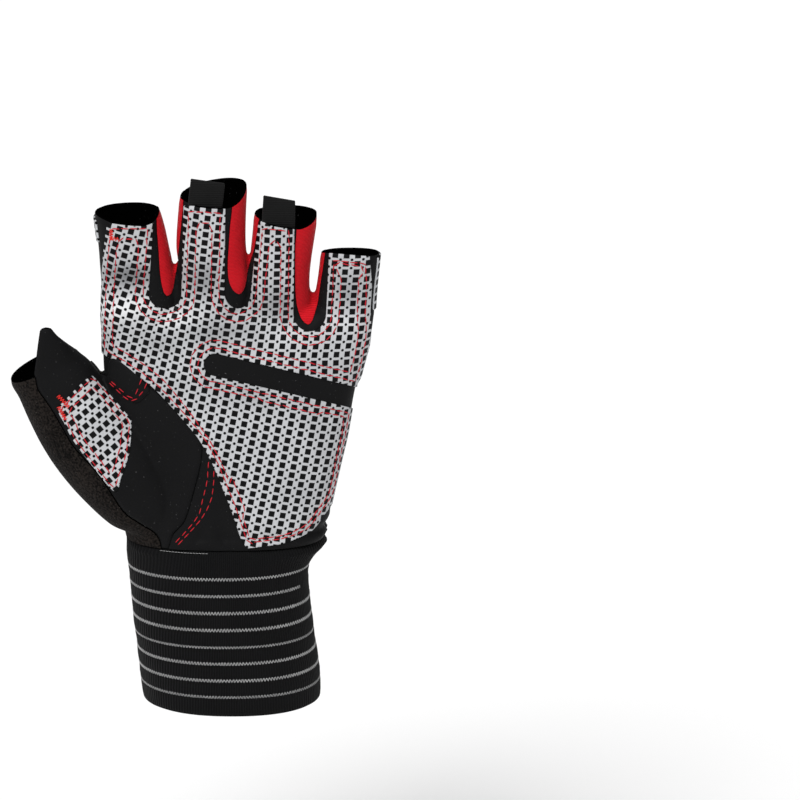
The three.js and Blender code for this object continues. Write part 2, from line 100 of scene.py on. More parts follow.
# %% Sizes of the hand
PALM = table(
    "z left right depth",
    (56, -39.5, 33.5, 19.5),
    (62, -40.2, 35.0, 20.0),
    (65, -40.5, 35.9, 20.3),
    (67.2, -40.7, 36.7, 20.4),
    (69.6, -40.2, 35.2, 19.5),
    (73, -41.0, 37.4, 19.8),
    (78.3, -41.5, 38.2, 19.6),
    (95, -44.5, 41.8, 19.0),
    (105.8, -46.0, 44.2, 18.0),
    (124, -48.0, 47.3, 16.5),
    (139.5, -48.7, 51.2, 14.5),
    (149, -48.8, 53.8, 12.8),
    (156, -48.9, 54.4, 9.5),
    (158.5, -45.0, 51.0, 4.0),
)
FINGERS = {
    "index": table(
        "z left right depth",
        (128, -46.6, -24.5, 9.0),
        (146, -48.6, -22.5, 10.6),
        (158, -49.1, -20.0, 11.0),
        (168, -49.5, -20.2, 11.0),
        (174, -49.8, -21.9, 11.0),
        (181, -50.2, -23.4, 11.0),
        (188, -51.0, -24.8, 11.0),
        (195, -51.8, -26.6, 11.0),
        (203, -52.4, -28.2, 11.0),
    ),
    "middle": table(
        "z left right depth",
        (128, -20.0, 3.0, 9.0),
        (146, -22.0, 4.6, 10.6),
        (158, -22.6, 6.8, 11.0),
        (168, -21.0, 7.4, 11.0),
        (175, -20.3, 6.3, 11.0),
        (181, -20.6, 5.8, 11.0),
        (187, -20.4, 5.7, 11.0),
        (195, -19.8, 5.9, 11.0),
        (203, -19.2, 6.3, 11.0),
        (214, -18.8, 6.8, 11.0),
    ),
    "ring": table(
        "z left right depth",
        (128, 6.0, 28.0, 9.0),
        (146, 5.0, 30.5, 10.6),
        (158, 5.6, 30.2, 11.0),
        (168, 7.0, 29.9, 11.0),
        (176, 7.3, 30.6, 11.0),
        (185, 8.2, 31.9, 11.0),
        (193, 8.8, 33.0, 11.0),
        (202, 9.3, 33.6, 11.0),
    ),
    "little": table(
        "z left right depth",
        (128, 32.0, 49.0, 7.4),
        (144, 29.8, 53.0, 8.2),
        (154, 30.4, 54.6, 8.2),
        (160, 31.6, 55.0, 8.0),
        (168, 33.0, 55.6, 7.9),
        (178, 34.1, 56.6, 7.9),
        (186, 34.8, 57.2, 7.9),
    ),
}
THUMB = table(
    "x y z half_width half_depth turn",
    (-21.96, 0.0, 60.8, 14.8, 13.0, 45.0),
    (-27.3, -0.8, 74.2, 13.2, 16.8, 43.0),
    (-34.1, -1.6, 82.4, 16.8, 20.2, 40.0),
    (-42.5, -1.2, 93.3, 19.0, 20.2, 37.0),
    (-49.8, -0.8, 103.0, 19.6, 18.5, 34.5),
    (-57.1, -0.4, 111.6, 18.0, 16.4, 34.0),
    (-62.9, 0.0, 120.2, 16.5, 14.5, 33.0),
    (-67.2, 0.0, 128.1, 15.4, 13.0, 29.0),
    (-71.2, 0.0, 133.5, 14.2, 12.0, 26.5),
    (-72.6, 0.0, 142.3, 12.5, 11.6, 18.0),
    (-73.0, 0.0, 153.0, 11.2, 11.5, 12.0),
)
WEB_DROPS = table(
    "x drop half_width depth",
    (-21.0, 6.0, 9.0, 11.0),
    (7.0, 10.0, 9.0, 11.0),
    (30.6, 22.0, 8.0, 9.4),
)
WEB = table(
    "z front back",
    (140, -1.0, 1.0),
    (152, -1.0, 1.0),
    (160, -0.88, 0.98),
    (165, -0.58, 0.94),
    (169, -0.12, 0.86),
    (172, 0.3, 0.66),
)
HAND_SQUARENESS = 2.5
TUBE_SQUARENESS = 2.25
print("tables: palm", len(PALM["z"]), "rows, thumb", len(THUMB["z"]), "rows,", len(FINGERS), "fingers")

# %% [markdown]
# The hand could be one subdivision cage, but five tubes meet in it, and a cage would need a hand-made join
# at each. Here each finger, the thumb and the palm is a loft of its own, and a voxel remesh melts them into
# one skin. Its little steps are then relaxed away, with a push back out after each pull in, so that the
# form doesn't shrink.

# %% Round tubes
def power(values, squareness):
    return np.sign(values) * np.abs(values) ** (2 / squareness)


def tube(sections, squareness, sides=96):
    """A closed tube through sections of x, y, z, half width, half depth and turn in degrees."""
    rows = flowing(sections, FORM_STEP)
    x, y, z, half_width, half_depth, turn = (column[:, None] for column in rows.T)
    angle, turn = np.linspace(0, 2 * math.pi, sides, endpoint=False), np.radians(turn)
    wide = half_width * power(np.cos(angle), squareness)
    deep = half_depth * power(np.sin(angle), squareness)
    v = np.stack([x + wide * np.cos(turn), y + deep, z + wide * np.sin(turn)], -1).reshape(-1, 3)
    ring, last = np.arange(sides), sides * (len(rows) - 1)
    quads = [
        (start + a, start + b, start + sides + b, start + sides + a)
        for start in range(0, last, sides)
        for a, b in zip(ring, np.roll(ring, -1))
    ]
    return v, [*quads, tuple(ring[::-1]), tuple(ring + last)]


def upright_sections(t):
    """Sections of an upright tube from its left and right edges and its half depth."""
    zero = np.zeros_like(t["z"])
    return np.column_stack(
        [(t["left"] + t["right"]) / 2, zero, t["z"], (t["right"] - t["left"]) / 2, t["depth"], zero]
    )


def web_sections(x, drop, half_width, depth):
    """The web between two fingers: its front edge leans back as it rises."""
    zero = np.zeros_like(WEB["z"])
    middle, half = (WEB["front"] + WEB["back"]) / 2 * depth, (WEB["back"] - WEB["front"]) / 2 * depth
    return np.column_stack([zero + x, middle, WEB["z"] - drop, zero + half_width, half, zero])


parts = [tube(upright_sections(PALM), HAND_SQUARENESS)]
parts += [tube(upright_sections(finger), TUBE_SQUARENESS) for finger in FINGERS.values()]
parts += [tube(web_sections(*web), TUBE_SQUARENESS) for web in zip(*WEB_DROPS.values())]
parts.append(tube(np.column_stack(list(THUMB.values())), TUBE_SQUARENESS))
print("tubes of the hand:", len(parts))

# %% Melt the tubes into one skin
VOXEL = 0.85
RELAX_ROUNDS = 14
PULL_IN, PUSH_OUT = 0.5, -0.52


def placed(name, data):
    """A new object in the scene that shows the data."""
    obj = bpy.data.objects.new(name, data)
    bpy.context.scene.collection.objects.link(obj)
    return obj


def mesh_object(name, v, faces):
    """A mesh object, from points in millimetres."""
    mesh = bpy.data.meshes.new(name)
    mesh.from_pydata((np.asarray(v) * MM).tolist(), [], [tuple(map(int, f)) for f in faces])
    return placed(name, mesh)


def settled_mesh(obj):
    """The object's mesh with its modifiers worked in."""
    graph = bpy.context.evaluated_depsgraph_get()
    return bpy.data.meshes.new_from_object(obj.evaluated_get(graph), depsgraph=graph)


def melted(parts):
    """Closed tubes melted into one skin: its points and its triangles."""
    v, faces, start = [], [], 0
    for points, polygons in parts:
        v.append(points)
        faces += [[start + i for i in polygon] for polygon in polygons]
        start += len(points)
    obj = mesh_object("form", np.vstack(v), faces)
    modifier = obj.modifiers.new("melt", "REMESH")
    modifier.mode = "VOXEL"
    modifier.voxel_size = VOXEL * MM
    mesh = settled_mesh(obj)
    points = np.empty(len(mesh.vertices) * 3)
    mesh.vertices.foreach_get("co", points)
    quads = np.array([p.vertices[:] for p in mesh.polygons])
    bpy.data.objects.remove(obj)
    return points.reshape(-1, 3) / MM, quads


def relaxed(v, quads, rounds):
    """Points pulled to the middle of their neighbours and pushed back out, round by round."""
    edges = np.unique(np.sort(np.vstack([quads[:, [k, (k + 1) % 4]] for k in range(4)]), axis=1), axis=0)
    a, b = edges.T
    count = np.bincount(edges.ravel(), minlength=len(v))[:, None]
    for pull in [PULL_IN, PUSH_OUT] * rounds:
        total = np.column_stack(
            [np.bincount(a, v[b, k], len(v)) + np.bincount(b, v[a, k], len(v)) for k in range(3)]
        )
        v = v + pull * (total / count - v)
    return v


form_v, form_quads = melted(parts)
form_v = relaxed(form_v, form_quads, RELAX_ROUNDS)
print("melted skin:", len(form_v), "points")

# %% [markdown]
# Cloth that is worn isn't even: it sinks where a finger bends and swells beside that. The dents could be
# sculpted by hand, but a table of soft hollows keeps the place, size and turn of each one in plain sight.
# They lie on the leaning plane, a plus stands out, and a minus sinks in.

# %% Dents and swells
def triangles(v, quads):
    """Quads cut along their shorter diagonal."""
    a, b, c, d = quads.T
    short = np.linalg.norm(v[a] - v[c], axis=1) < np.linalg.norm(v[b] - v[d], axis=1)
    first = np.where(short[:, None], np.column_stack([a, b, c]), np.column_stack([a, b, d]))
    second = np.where(short[:, None], np.column_stack([a, c, d]), np.column_stack([b, c, d]))
    return np.vstack([first, second])


def normals_of(v, f):
    """A unit normal for each point, from the triangles round it."""
    flat = np.cross(v[f[:, 1]] - v[f[:, 0]], v[f[:, 2]] - v[f[:, 0]])
    n = np.column_stack([np.bincount(f.ravel(), np.repeat(flat[:, k], 3), len(v)) for k in range(3)])
    return n / np.maximum(np.linalg.norm(n, axis=1, keepdims=True), 1e-9)


DENTS = table(
    "x u across along turn rise",
    (-38, 157, 10, 5, 0, -2.5),
    (-40, 145, 12, 5, 8, 0.9),
    (-10, 155, 8, 7, 0, -1.7),
    (-18, 140, 12, 5, 5, 0.7),
    (18, 146, 9, 7, 0, -1.6),
    (20, 136, 10, 5, -5, 0.5),
    (44, 151, 8, 7, 0, -1.4),
    (44, 140, 8, 5, 0, 0.5),
    (-3, 136, 15, 5, 0, -1.4),
    (-28, 131, 12, 5, -20, -0.8),
    (2, 112, 26, 7, -10, -0.6),
    (-20, 96, 5, 16, 28, -1.0),
    (-33, 72, 3, 9, 35, -0.5),
    (-3, 60, 2.2, 6, 20, -0.9),
    (-8, 62, 1.6, 5, 30, 0.5),
    (-12, 60, 2, 5, -25, -0.8),
)


def creases(v):
    """The height of all dents and swells together at each point."""
    plane = leaning(v)
    rise = np.zeros(len(v))
    for x, u, across, along, turn, height in zip(*DENTS.values()):
        c, k = math.cos(math.radians(turn)), math.sin(math.radians(turn))
        dx, du = plane[:, 0] - x, plane[:, 1] - u
        rise += height * np.exp(-(((dx * c + du * k) / across) ** 2) - ((du * c - dx * k) / along) ** 2)
    return rise


def dented(v, n):
    """The form with its dents and swells, on the side that faces the front."""
    return v + n * (creases(v) * np.clip(-n[:, 1] * 1.6, 0, 1))[:, None]


form_f = triangles(form_v, form_quads)
form_v = dented(form_v, normals_of(form_v, form_f))
form = {"v": form_v, "f": form_f, "n": normals_of(form_v, form_f)}
form_tree = BVHTree.FromPolygons(form_v.tolist(), form_f.tolist())
print("hand form:", len(form_v), "points,", len(form_f), "triangles")

# %% [markdown]
# A panel is what a maker cuts with scissors, and here the cut is exact too: each triangle that a seam
# crosses is split where the seam passes. A seam is where a distance turns from minus, inside, to plus,
# outside. A boolean would do the same with solids, but it keeps no record of how far each point is from the
# edge.

# %% Split the skin along a seam
SNAP = 0.06


def split(skin, values, level=0.0):
    """The skin with its triangles split where values pass level, and the values at its points."""
    d = np.where(np.abs(values - level) < SNAP, 0.0, values - level)
    f = skin["f"]
    sign = np.sign(d)[f]
    crossed = sign * np.roll(sign, -1, axis=1) < 0
    count = crossed.sum(axis=1)
    pairs = np.sort(np.stack([f, np.roll(f, -1, axis=1)], -1)[crossed], axis=1)
    if not len(pairs):
        return skin, d + level
    pairs, place = np.unique(pairs, axis=0, return_inverse=True)
    t = d[pairs[:, 0]] / (d[pairs[:, 0]] - d[pairs[:, 1]])
    middle = np.full(f.shape, -1)
    middle[crossed] = place.ravel() + len(d)
    made = {"f": f[count == 0]}
    for key, array in skin.items():
        if key != "f":
            share = t.reshape(-1, *[1] * (array.ndim - 1))
            made[key] = np.concatenate([array, array[pairs[:, 0]] * (1 - share) + array[pairs[:, 1]] * share])
    for times, first in ((1, lambda c: c), (2, lambda c: np.roll(c, -1, axis=1) & c)):
        chosen = count == times
        c = crossed[chosen]
        start = (np.argmax(first(c), axis=1) + times - 1) % 3
        order = (start[:, None] + np.arange(3)) % 3
        p = np.take_along_axis(f[chosen], order, axis=1)
        m = np.take_along_axis(middle[chosen], order, axis=1)
        if times == 1:
            cut = [(p[:, 0], m[:, 0], p[:, 2]), (m[:, 0], p[:, 1], p[:, 2])]
        else:
            cut = [(p[:, 0], m[:, 0], m[:, 2]), (m[:, 0], p[:, 1], p[:, 2]), (m[:, 0], p[:, 2], m[:, 2])]
        made["f"] = np.vstack([made["f"], *[np.column_stack(tri) for tri in cut]])
    made["n"] = made["n"] / np.linalg.norm(made["n"], axis=1, keepdims=True)
    return made, np.concatenate([d, np.zeros(len(pairs))]) + level


def kept(skin, inside):
    """Only the triangles that inside names, and only the points that they use."""
    f = skin["f"][inside]
    used, place = np.unique(f, return_inverse=True)
    made = {key: array[used] for key, array in skin.items() if key != "f"}
    made["f"] = place.reshape(-1, 3)
    return made


def cut(skin, values):
    """The part of the skin where the values are under zero."""
    skin, values = split(skin, values)
    return kept(skin, values[skin["f"]].mean(axis=1) < 0)


print("front half of the form:", len(cut(form, form["v"][:, 1])["f"]), "triangles")

# %% [markdown]
# A cut needs one number for each point, which says how far inside or outside it lies. For an outline on the
# plane this is the distance to its nearest side. For a piece of cloth it is the distance to its nearest
# open edge.

# %% Distances to edges and outlines
def rim_edges(f):
    """The edges that only one triangle has, in its direction."""
    edges = np.vstack([f[:, [k, (k + 1) % 3]] for k in range(3)])
    _, place, count = np.unique(np.sort(edges, axis=1), axis=0, return_inverse=True, return_counts=True)
    return edges[count[place.ravel()] == 1]


def rim_distance(skin):
    """How far each point is from the nearest edge of the cloth."""
    edges = rim_edges(skin["f"])
    points = np.vstack([skin["v"][edges[:, 0]], (skin["v"][edges[:, 0]] + skin["v"][edges[:, 1]]) / 2])
    tree = KDTree(len(points))
    for i, point in enumerate(points):
        tree.insert(point, i)
    tree.balance()
    return np.array([tree.find(point)[2] for point in skin["v"]])


def polygon_distance(points, outline):
    """How far each point on the plane is from a closed outline: minus inside, plus outside."""
    a, b = outline, np.roll(outline, -1, axis=0)
    best = np.full(len(points), 1e9)
    odd = np.zeros(len(points), bool)
    for p, q in zip(a, b):
        along = q - p
        t = np.clip(((points - p) @ along) / max(along @ along, 1e-9), 0, 1)
        best = np.minimum(best, np.linalg.norm(points - p - t[:, None] * along, axis=1))
        over = (p[1] > points[:, 1]) != (q[1] > points[:, 1])
        if p[1] != q[1]:
            odd ^= over & (points[:, 0] < along[0] * (points[:, 1] - p[1]) / along[1] + p[0])
    return np.where(odd, -best, best)


print("open edges of the closed form:", len(rim_edges(form["f"])))

# %% [markdown]
# The materials come before the pieces, because each piece is made with its finish. Small effects that
# several cloths share are node groups: a woven or knitted grain, and the ribs that run through elastic and
# stretch cloth. They give only colours, masks and heights, and the surface shader stays in each material.

# %% Node helpers
def feed(tree, socket, value):
    """A value or a link on an input socket."""
    if isinstance(value, bpy.types.NodeSocket):
        tree.links.new(value, socket)
    else:
        socket.default_value = value


def node(tree, kind, inputs=None, **settings):
    """A new node, with its settings and with values or links on its inputs."""
    made = tree.nodes.new(kind)
    for key, value in settings.items():
        setattr(made, key, value)
    for key, value in (inputs or {}).items():
        feed(tree, made.inputs[key], value)
    return made


def maths(tree, operation, *values, clamp=False):
    """The outcome of a Math node."""
    made = node(tree, "ShaderNodeMath", dict(enumerate(values)), operation=operation, use_clamp=clamp)
    return made.outputs[0]


def group(name, inputs, outputs, kind="ShaderNodeTree"):
    """An empty node group with named sockets: its tree and its inner input and output nodes."""
    tree = bpy.data.node_groups.new(name, kind)
    for label, (socket, default) in inputs.items():
        made = tree.interface.new_socket(label, in_out="INPUT", socket_type=socket)
        if default is not None:
            made.default_value = default
    for label, socket in outputs.items():
        tree.interface.new_socket(label, in_out="OUTPUT", socket_type=socket)
    return tree, tree.nodes.new("NodeGroupInput"), tree.nodes.new("NodeGroupOutput")


def use(tree, shared, inputs):
    """A shared group placed in a material."""
    return node(tree, "ShaderNodeGroup", inputs, node_tree=shared)


print("helpers for nodes, maths and groups ready")

# %% Grain and ribs of cloth
LINT_SCALE, LINT_EDGE = 1500.0, (0.74, 0.8)


def grain_group():
    """A fine cloth grain: a height for the bump, and masks for shade and lint. Sizes are in metres."""
    tree, given, out = group(
        "cloth grain",
        {
            "Vector": ("NodeSocketVector", None),
            "Size": ("NodeSocketFloat", 0.0006),
            "Patch": ("NodeSocketFloat", 0.02),
        },
        {"Height": "NodeSocketFloat", "Shade": "NodeSocketFloat", "Lint": "NodeSocketFloat"},
    )

    def noise(scale, detail):
        inputs = {"Vector": given.outputs["Vector"], "Scale": scale, "Detail": detail}
        return node(tree, "ShaderNodeTexNoise", inputs).outputs[0]

    low, high = LINT_EDGE
    lint = {"Value": noise(LINT_SCALE, 1.0), "From Min": low, "From Max": high}
    feed(tree, out.inputs["Height"], noise(maths(tree, "DIVIDE", 1.0, given.outputs["Size"]), 2.0))
    feed(tree, out.inputs["Shade"], noise(maths(tree, "DIVIDE", 1.0, given.outputs["Patch"]), 3.0))
    feed(tree, out.inputs["Lint"], node(tree, "ShaderNodeMapRange", lint).outputs[0])
    return tree


def ribs_group():
    """Straight ribs across a coordinate: a rounded height from 0 to 1 for each pitch, in metres."""
    tree, given, out = group(
        "cloth ribs",
        {"Across": ("NodeSocketFloat", 0.0), "Pitch": ("NodeSocketFloat", 0.001)},
        {"Height": "NodeSocketFloat"},
    )
    turns = maths(tree, "DIVIDE", given.outputs["Across"], given.outputs["Pitch"])
    wave = maths(tree, "SINE", maths(tree, "MULTIPLY", turns, 2 * math.pi))
    tree.links.new(maths(tree, "MULTIPLY_ADD", wave, 0.5, 0.5), out.inputs["Height"])
    return tree


GRAIN, RIBS = grain_group(), ribs_group()
print("shared effects:", GRAIN.name, "and", RIBS.name)

# %% Print of the grip cloth
PRINT_BLUR = 0.07


def lattice_group():
    """Rows of squares with a dot between each four: a mask from 0, ground, to 1, print. In millimetres."""
    tree, given, out = group(
        "grip lattice",
        {
            "Vector": ("NodeSocketVector", None),
            "Across": ("NodeSocketFloat", 4.3),
            "Along": ("NodeSocketFloat", 3.25),
            "Square": ("NodeSocketFloat", 2.1),
            "Dot": ("NodeSocketFloat", 0.8),
        },
        {"Mask": "NodeSocketFloat"},
    )
    sides = {0: given.outputs["Across"], 1: given.outputs["Along"], 2: 1.0}
    pitch = node(tree, "ShaderNodeCombineXYZ", sides).outputs[0]

    def cell(shift):
        """How far a point is from the middle of its cell, with the cells shifted by a share of the pitch."""
        place = given.outputs["Vector"]
        shifted, half = (shift, shift, 0), (0.5, 0.5, 0)
        steps = {"DIVIDE": pitch, "ADD": shifted, "FRACTION": None, "SUBTRACT": half, "MULTIPLY": pitch}
        for operation, value in steps.items():
            inputs = {0: place} if value is None else {0: place, 1: value}
            place = node(tree, "ShaderNodeVectorMath", inputs, operation=operation).outputs[0]
        return node(tree, "ShaderNodeSeparateXYZ", {0: place}).outputs

    square, dot = cell(0.0), cell(0.5)
    reach = maths(tree, "MAXIMUM", *(maths(tree, "ABSOLUTE", square[k]) for k in (0, 1)))
    far = maths(tree, "SQRT", maths(tree, "ADD", *(maths(tree, "POWER", dot[k], 2.0) for k in (0, 1))))
    in_square = maths(tree, "SUBTRACT", maths(tree, "MULTIPLY", given.outputs["Square"], 0.5), reach)
    in_dot = maths(tree, "SUBTRACT", maths(tree, "MULTIPLY", given.outputs["Dot"], 0.5), far)
    inside = maths(tree, "MAXIMUM", in_square, in_dot)
    edge = {"Value": inside, "From Min": -PRINT_BLUR, "From Max": PRINT_BLUR}
    feed(tree, out.inputs["Mask"], node(tree, "ShaderNodeMapRange", edge).outputs[0])
    return tree


LATTICE = lattice_group()
print("shared effect:", LATTICE.name)

# %% [markdown]
# Close black cloth is matt, with a fine grain and a little lint. Tape, elastic and the red stretch cloth
# have ribs as well. A picture of real cloth would look as good, but it would tie the glove to one size, so
# all finishes are worked out from the place on the piece.

# %% Black and red cloths
CLOTH_SHINE = 0.06
WRAP_RADIUS = 30.5
LINT_COLOUR, LINT_SHARE = (0.12, 0.12, 0.12), 0.5


def start_material(name, roughness, sheen=0.0, shine=0.5):
    """A material with its shader, and a Texture Coordinate node."""
    material = bpy.data.materials.new(name)
    material.use_nodes = True
    tree = material.node_tree
    shader = tree.nodes["Principled BSDF"]
    shader.inputs["Roughness"].default_value = roughness
    shader.inputs["Sheen Weight"].default_value = sheen
    shader.inputs["Specular IOR Level"].default_value = shine
    return material, tree, shader, tree.nodes.new("ShaderNodeTexCoord")


def add_bump(tree, shader, height, distance):
    """A height that turns the light on the surface, distance deep in metres."""
    bump = node(tree, "ShaderNodeBump", {"Height": height, "Distance": distance, "Strength": 1.0})
    feed(tree, shader.inputs["Normal"], bump.outputs[0])


def mixed(tree, share, first, second):
    """Two colours, each a link or a value, mixed by a share."""
    made = node(tree, "ShaderNodeMix", {0: share}, data_type="RGBA")
    colours = [s for s in made.inputs if s.type == "RGBA"]
    for socket, value in zip(colours, (first, second)):
        feed(tree, socket, (*value, 1.0) if isinstance(value, tuple) else value)
    return [s for s in made.outputs if s.type == "RGBA"][0]


def plain_cloth(name, dark, light, roughness, sheen, size, bump, shine=CLOTH_SHINE, grainy=0.0):
    """A close cloth with a fine grain, slow changes of shade and a little lint."""
    material, tree, shader, place = start_material(name, roughness, sheen, shine)
    grain = use(tree, GRAIN, {"Vector": place.outputs["Object"], "Size": size})
    fine = maths(tree, "SUBTRACT", grain.outputs["Height"], 0.5)
    share = maths(tree, "MULTIPLY_ADD", fine, grainy, grain.outputs["Shade"], clamp=True)
    lint = maths(tree, "MULTIPLY", grain.outputs["Lint"], LINT_SHARE)
    feed(tree, shader.inputs["Base Color"], mixed(tree, lint, mixed(tree, share, dark, light), LINT_COLOUR))
    add_bump(tree, shader, grain.outputs["Height"], bump)
    return material


def ribbed_cloth(name, dark, light, roughness, sheen, pitch, bump, axis):
    """A stretch cloth with fine ribs square to one axis of the object, or all round where axis is None."""
    material, tree, shader, place = start_material(name, roughness, sheen, CLOTH_SHINE)
    part = node(tree, "ShaderNodeSeparateXYZ", {0: place.outputs["Object"]})
    around = maths(tree, "ARCTAN2", part.outputs[1], part.outputs[0])
    across = part.outputs[axis] if axis is not None else maths(tree, "MULTIPLY", around, WRAP_RADIUS * MM)
    ribs = use(tree, RIBS, {"Across": across, "Pitch": pitch})
    grain = use(tree, GRAIN, {"Vector": place.outputs["Object"], "Size": pitch * 0.5})
    shade = maths(tree, "MULTIPLY", grain.outputs["Shade"], 0.6)
    colour = mixed(tree, maths(tree, "MULTIPLY_ADD", ribs.outputs[0], 0.4, shade), dark, light)
    tree.links.new(colour, shader.inputs["Base Color"])
    add_bump(tree, shader, maths(tree, "MULTIPLY_ADD", grain.outputs["Height"], 0.5, ribs.outputs[0]), bump)
    return material


SMOOTH = plain_cloth(
    "smooth black", (0.004, 0.004, 0.0043), (0.0068, 0.0068, 0.0072),
    roughness=0.6, sheen=0.01, size=0.0004, bump=0.00005,
)
BACK = plain_cloth(
    "black stretch knit", (0.0045, 0.0045, 0.005), (0.009, 0.009, 0.0095),
    roughness=0.8, sheen=0.02, size=0.0006, bump=0.0001,
)
TERRY = plain_cloth(
    "black-brown terry", (0.001, 0.0008, 0.0006), (0.017, 0.0135, 0.0115),
    roughness=0.95, sheen=0.03, size=0.0008, bump=0.0006, grainy=3.5,
)
# Painted shade: the lining is near black and without shine, far darker than the black cloth outside, and it
# covers the inside of every panel, the red ones too, where the inside of the openings is in shade. Only in
# part is it the glove's own dark inside.
LINING_AND_SHADE = plain_cloth(
    "black lining and painted shade", (0.0003, 0.0003, 0.0003), (0.0006, 0.0006, 0.0006),
    roughness=1.0, sheen=0.0, size=0.0006, bump=0.00005, shine=0.0,
)
WEBBING = ribbed_cloth(
    "black tape", (0.005, 0.005, 0.005), (0.011, 0.011, 0.011),
    roughness=0.8, sheen=0.04, pitch=0.0009, bump=0.0001, axis=2,
)
RED = ribbed_cloth(
    "red stretch", (0.36, 0.002, 0.006), (0.78, 0.013, 0.024),
    roughness=0.6, sheen=0.04, pitch=0.00055, bump=0.0002, axis=2,
)
ELASTIC = ribbed_cloth(
    "black elastic", (0.002, 0.002, 0.0022), (0.0075, 0.0075, 0.008),
    roughness=0.85, sheen=0.02, pitch=0.0011, bump=0.0003, axis=None,
)
print("cloths:", len(bpy.data.materials))

# %% [markdown]
# The grip cloth is silver with rubbery black squares and dots. A flat map of the piece carries the print, so
# that it runs with the cloth, and an attribute of the mesh says where the cloth sinks or swells: there the
# silver is darkened with painted shade in the dents and brightened with painted highlights on the swells.
# Thread is a plain soft finish in three colours.

# %% Silver grip cloth and thread
MAP_UNIT = 100.0
SILVER_DARK, SILVER_LIGHT = (0.38, 0.388, 0.4), (0.62, 0.63, 0.645)
PAINTED_DENT_SHADE, PAINTED_SWELL_HIGHLIGHT, SILVER_GRAIN = (0.14, 0.145, 0.15), (0.86, 0.865, 0.87), (0.3, 0.3, 0.32)
PRINT_BLACK = (0.003, 0.003, 0.0033)


def grip_cloth(name, turn):
    """Silver cloth with black squares and dots that stand a little proud. Its map is in MAP_UNIT."""
    material, tree, shader, place = start_material(name, 0.42, shine=0.08)
    turned = {"Vector": place.outputs["UV"], "Rotation": (0, 0, math.radians(turn)), "Scale": [MAP_UNIT] * 3}
    mapping = node(tree, "ShaderNodeMapping", turned)
    mask = use(tree, LATTICE, {"Vector": mapping.outputs[0], "Square": 2.2, "Dot": 1.05}).outputs[0]
    grain = use(tree, GRAIN, {"Vector": place.outputs["Object"], "Size": 0.0003, "Patch": 0.012})
    # Painted shade and painted highlight: the attribute with the dents' heights darkens the silver in the
    # dents and brightens it on the swells.
    crease = node(tree, "ShaderNodeAttribute", attribute_name="crease").outputs["Fac"]
    colour = mixed(tree, grain.outputs["Shade"], SILVER_DARK, SILVER_LIGHT)
    colour = mixed(tree, maths(tree, "MULTIPLY", crease, -0.38, clamp=True), colour, PAINTED_DENT_SHADE)
    colour = mixed(tree, maths(tree, "MULTIPLY", crease, 0.9, clamp=True), colour, PAINTED_SWELL_HIGHLIGHT)
    colour = mixed(tree, maths(tree, "MULTIPLY", grain.outputs["Height"], 0.35), colour, SILVER_GRAIN)
    feed(tree, shader.inputs["Base Color"], mixed(tree, mask, colour, PRINT_BLACK))
    feed(tree, shader.inputs["Roughness"], maths(tree, "MULTIPLY_ADD", mask, 0.15, 0.4))
    add_bump(tree, shader, maths(tree, "MULTIPLY_ADD", grain.outputs["Height"], 0.2, mask), 0.00018)
    return material


def thread(name, dark, light):
    material, tree, shader, place = start_material(name, 0.6, shine=0.25)
    grain = use(tree, GRAIN, {"Vector": place.outputs["Object"], "Size": 0.0003, "Patch": 0.004})
    feed(tree, shader.inputs["Base Color"], mixed(tree, grain.outputs["Shade"], dark, light))
    add_bump(tree, shader, grain.outputs["Height"], 0.0001)
    return material


GRIP = grip_cloth("silver grip", 9.7)
THUMB_GRIP = grip_cloth("silver grip on the thumb", 50)
SIDE_GRIP = grip_cloth("silver grip on the sides", 0)
RED_THREAD = thread("red thread", (0.3, 0.004, 0.01), (0.6, 0.012, 0.025))
TACK_THREAD = thread("orange-red thread", (0.5, 0.012, 0.008), (0.72, 0.024, 0.016))
GREY_THREAD = thread("grey thread", (0.2, 0.2, 0.2), (0.46, 0.46, 0.46))
print("finishes in all:", len(bpy.data.materials))

# %% [markdown]
# The panels meet along seams. Each seam is a smooth line through a few points on the leaning plane, as it
# is seen from the front. One skin could also be painted in several colours, but a real panel is its own
# piece of cloth, with an edge that dips into the seam, so each one is cut out.

# %% Seams between the panels
FAR = 400.0
LINE_STEP = 0.8
WEB_SEAMS = [
    [
        (-27.7, 183.5), (-27.6, 176), (-27, 167.4), (-26.6, 160), (-26, 155.5), (-25, 152), (-24, 150.9),
        (-22.6, 151.5), (-21.6, 154), (-20.9, 158.7), (-20.4, 164.1), (-19.7, 170.5), (-19, 177),
        (-18.3, 184), (-18.1, 188),
    ],
    [
        (1, 187), (0.6, 181.6), (0, 177.2), (-0.5, 170), (-0.9, 164), (-0.9, 160), (-0.5, 156.5),
        (1, 153.2), (3.3, 151.6), (4.9, 152.8), (5.9, 155.4), (6.5, 159.8), (7.2, 164.1), (8.6, 168.5),
        (9.4, 172.9), (10.2, 177.2), (10.8, 181.6), (11.2, 187),
    ],
    [
        (25.4, 180), (25.1, 175), (24.7, 170), (24.6, 164), (24.6, 157), (24.9, 150), (25.6, 146),
        (27, 142.2), (29.2, 140.3), (30.8, 141.5), (32.4, 146.7), (33.3, 152), (34, 157), (34.5, 160),
        (35.1, 164), (35.7, 168),
    ],
]
TERRY_SEAM = [
    (-74.5, 120.8), (-73.4, 115.4), (-70.7, 111.4), (-67.5, 106.6), (-63.8, 100.2), (-59.4, 93),
    (-50, 82.4), (-41.3, 69.2), (-34.6, 64.1), (-28.1, 59.4), (-26, 50),
]
THUMB_SEAM = [
    (-47.9, 121.1), (-42.9, 118.1), (-30.8, 116.2), (-19, 107), (-12.8, 100), (-10.9, 93.8),
    (-11.6, 86.1), (-13.9, 76.8), (-17.2, 66.2), (-20.3, 62.1), (-22.6, 59.1), (-25, 50),
]
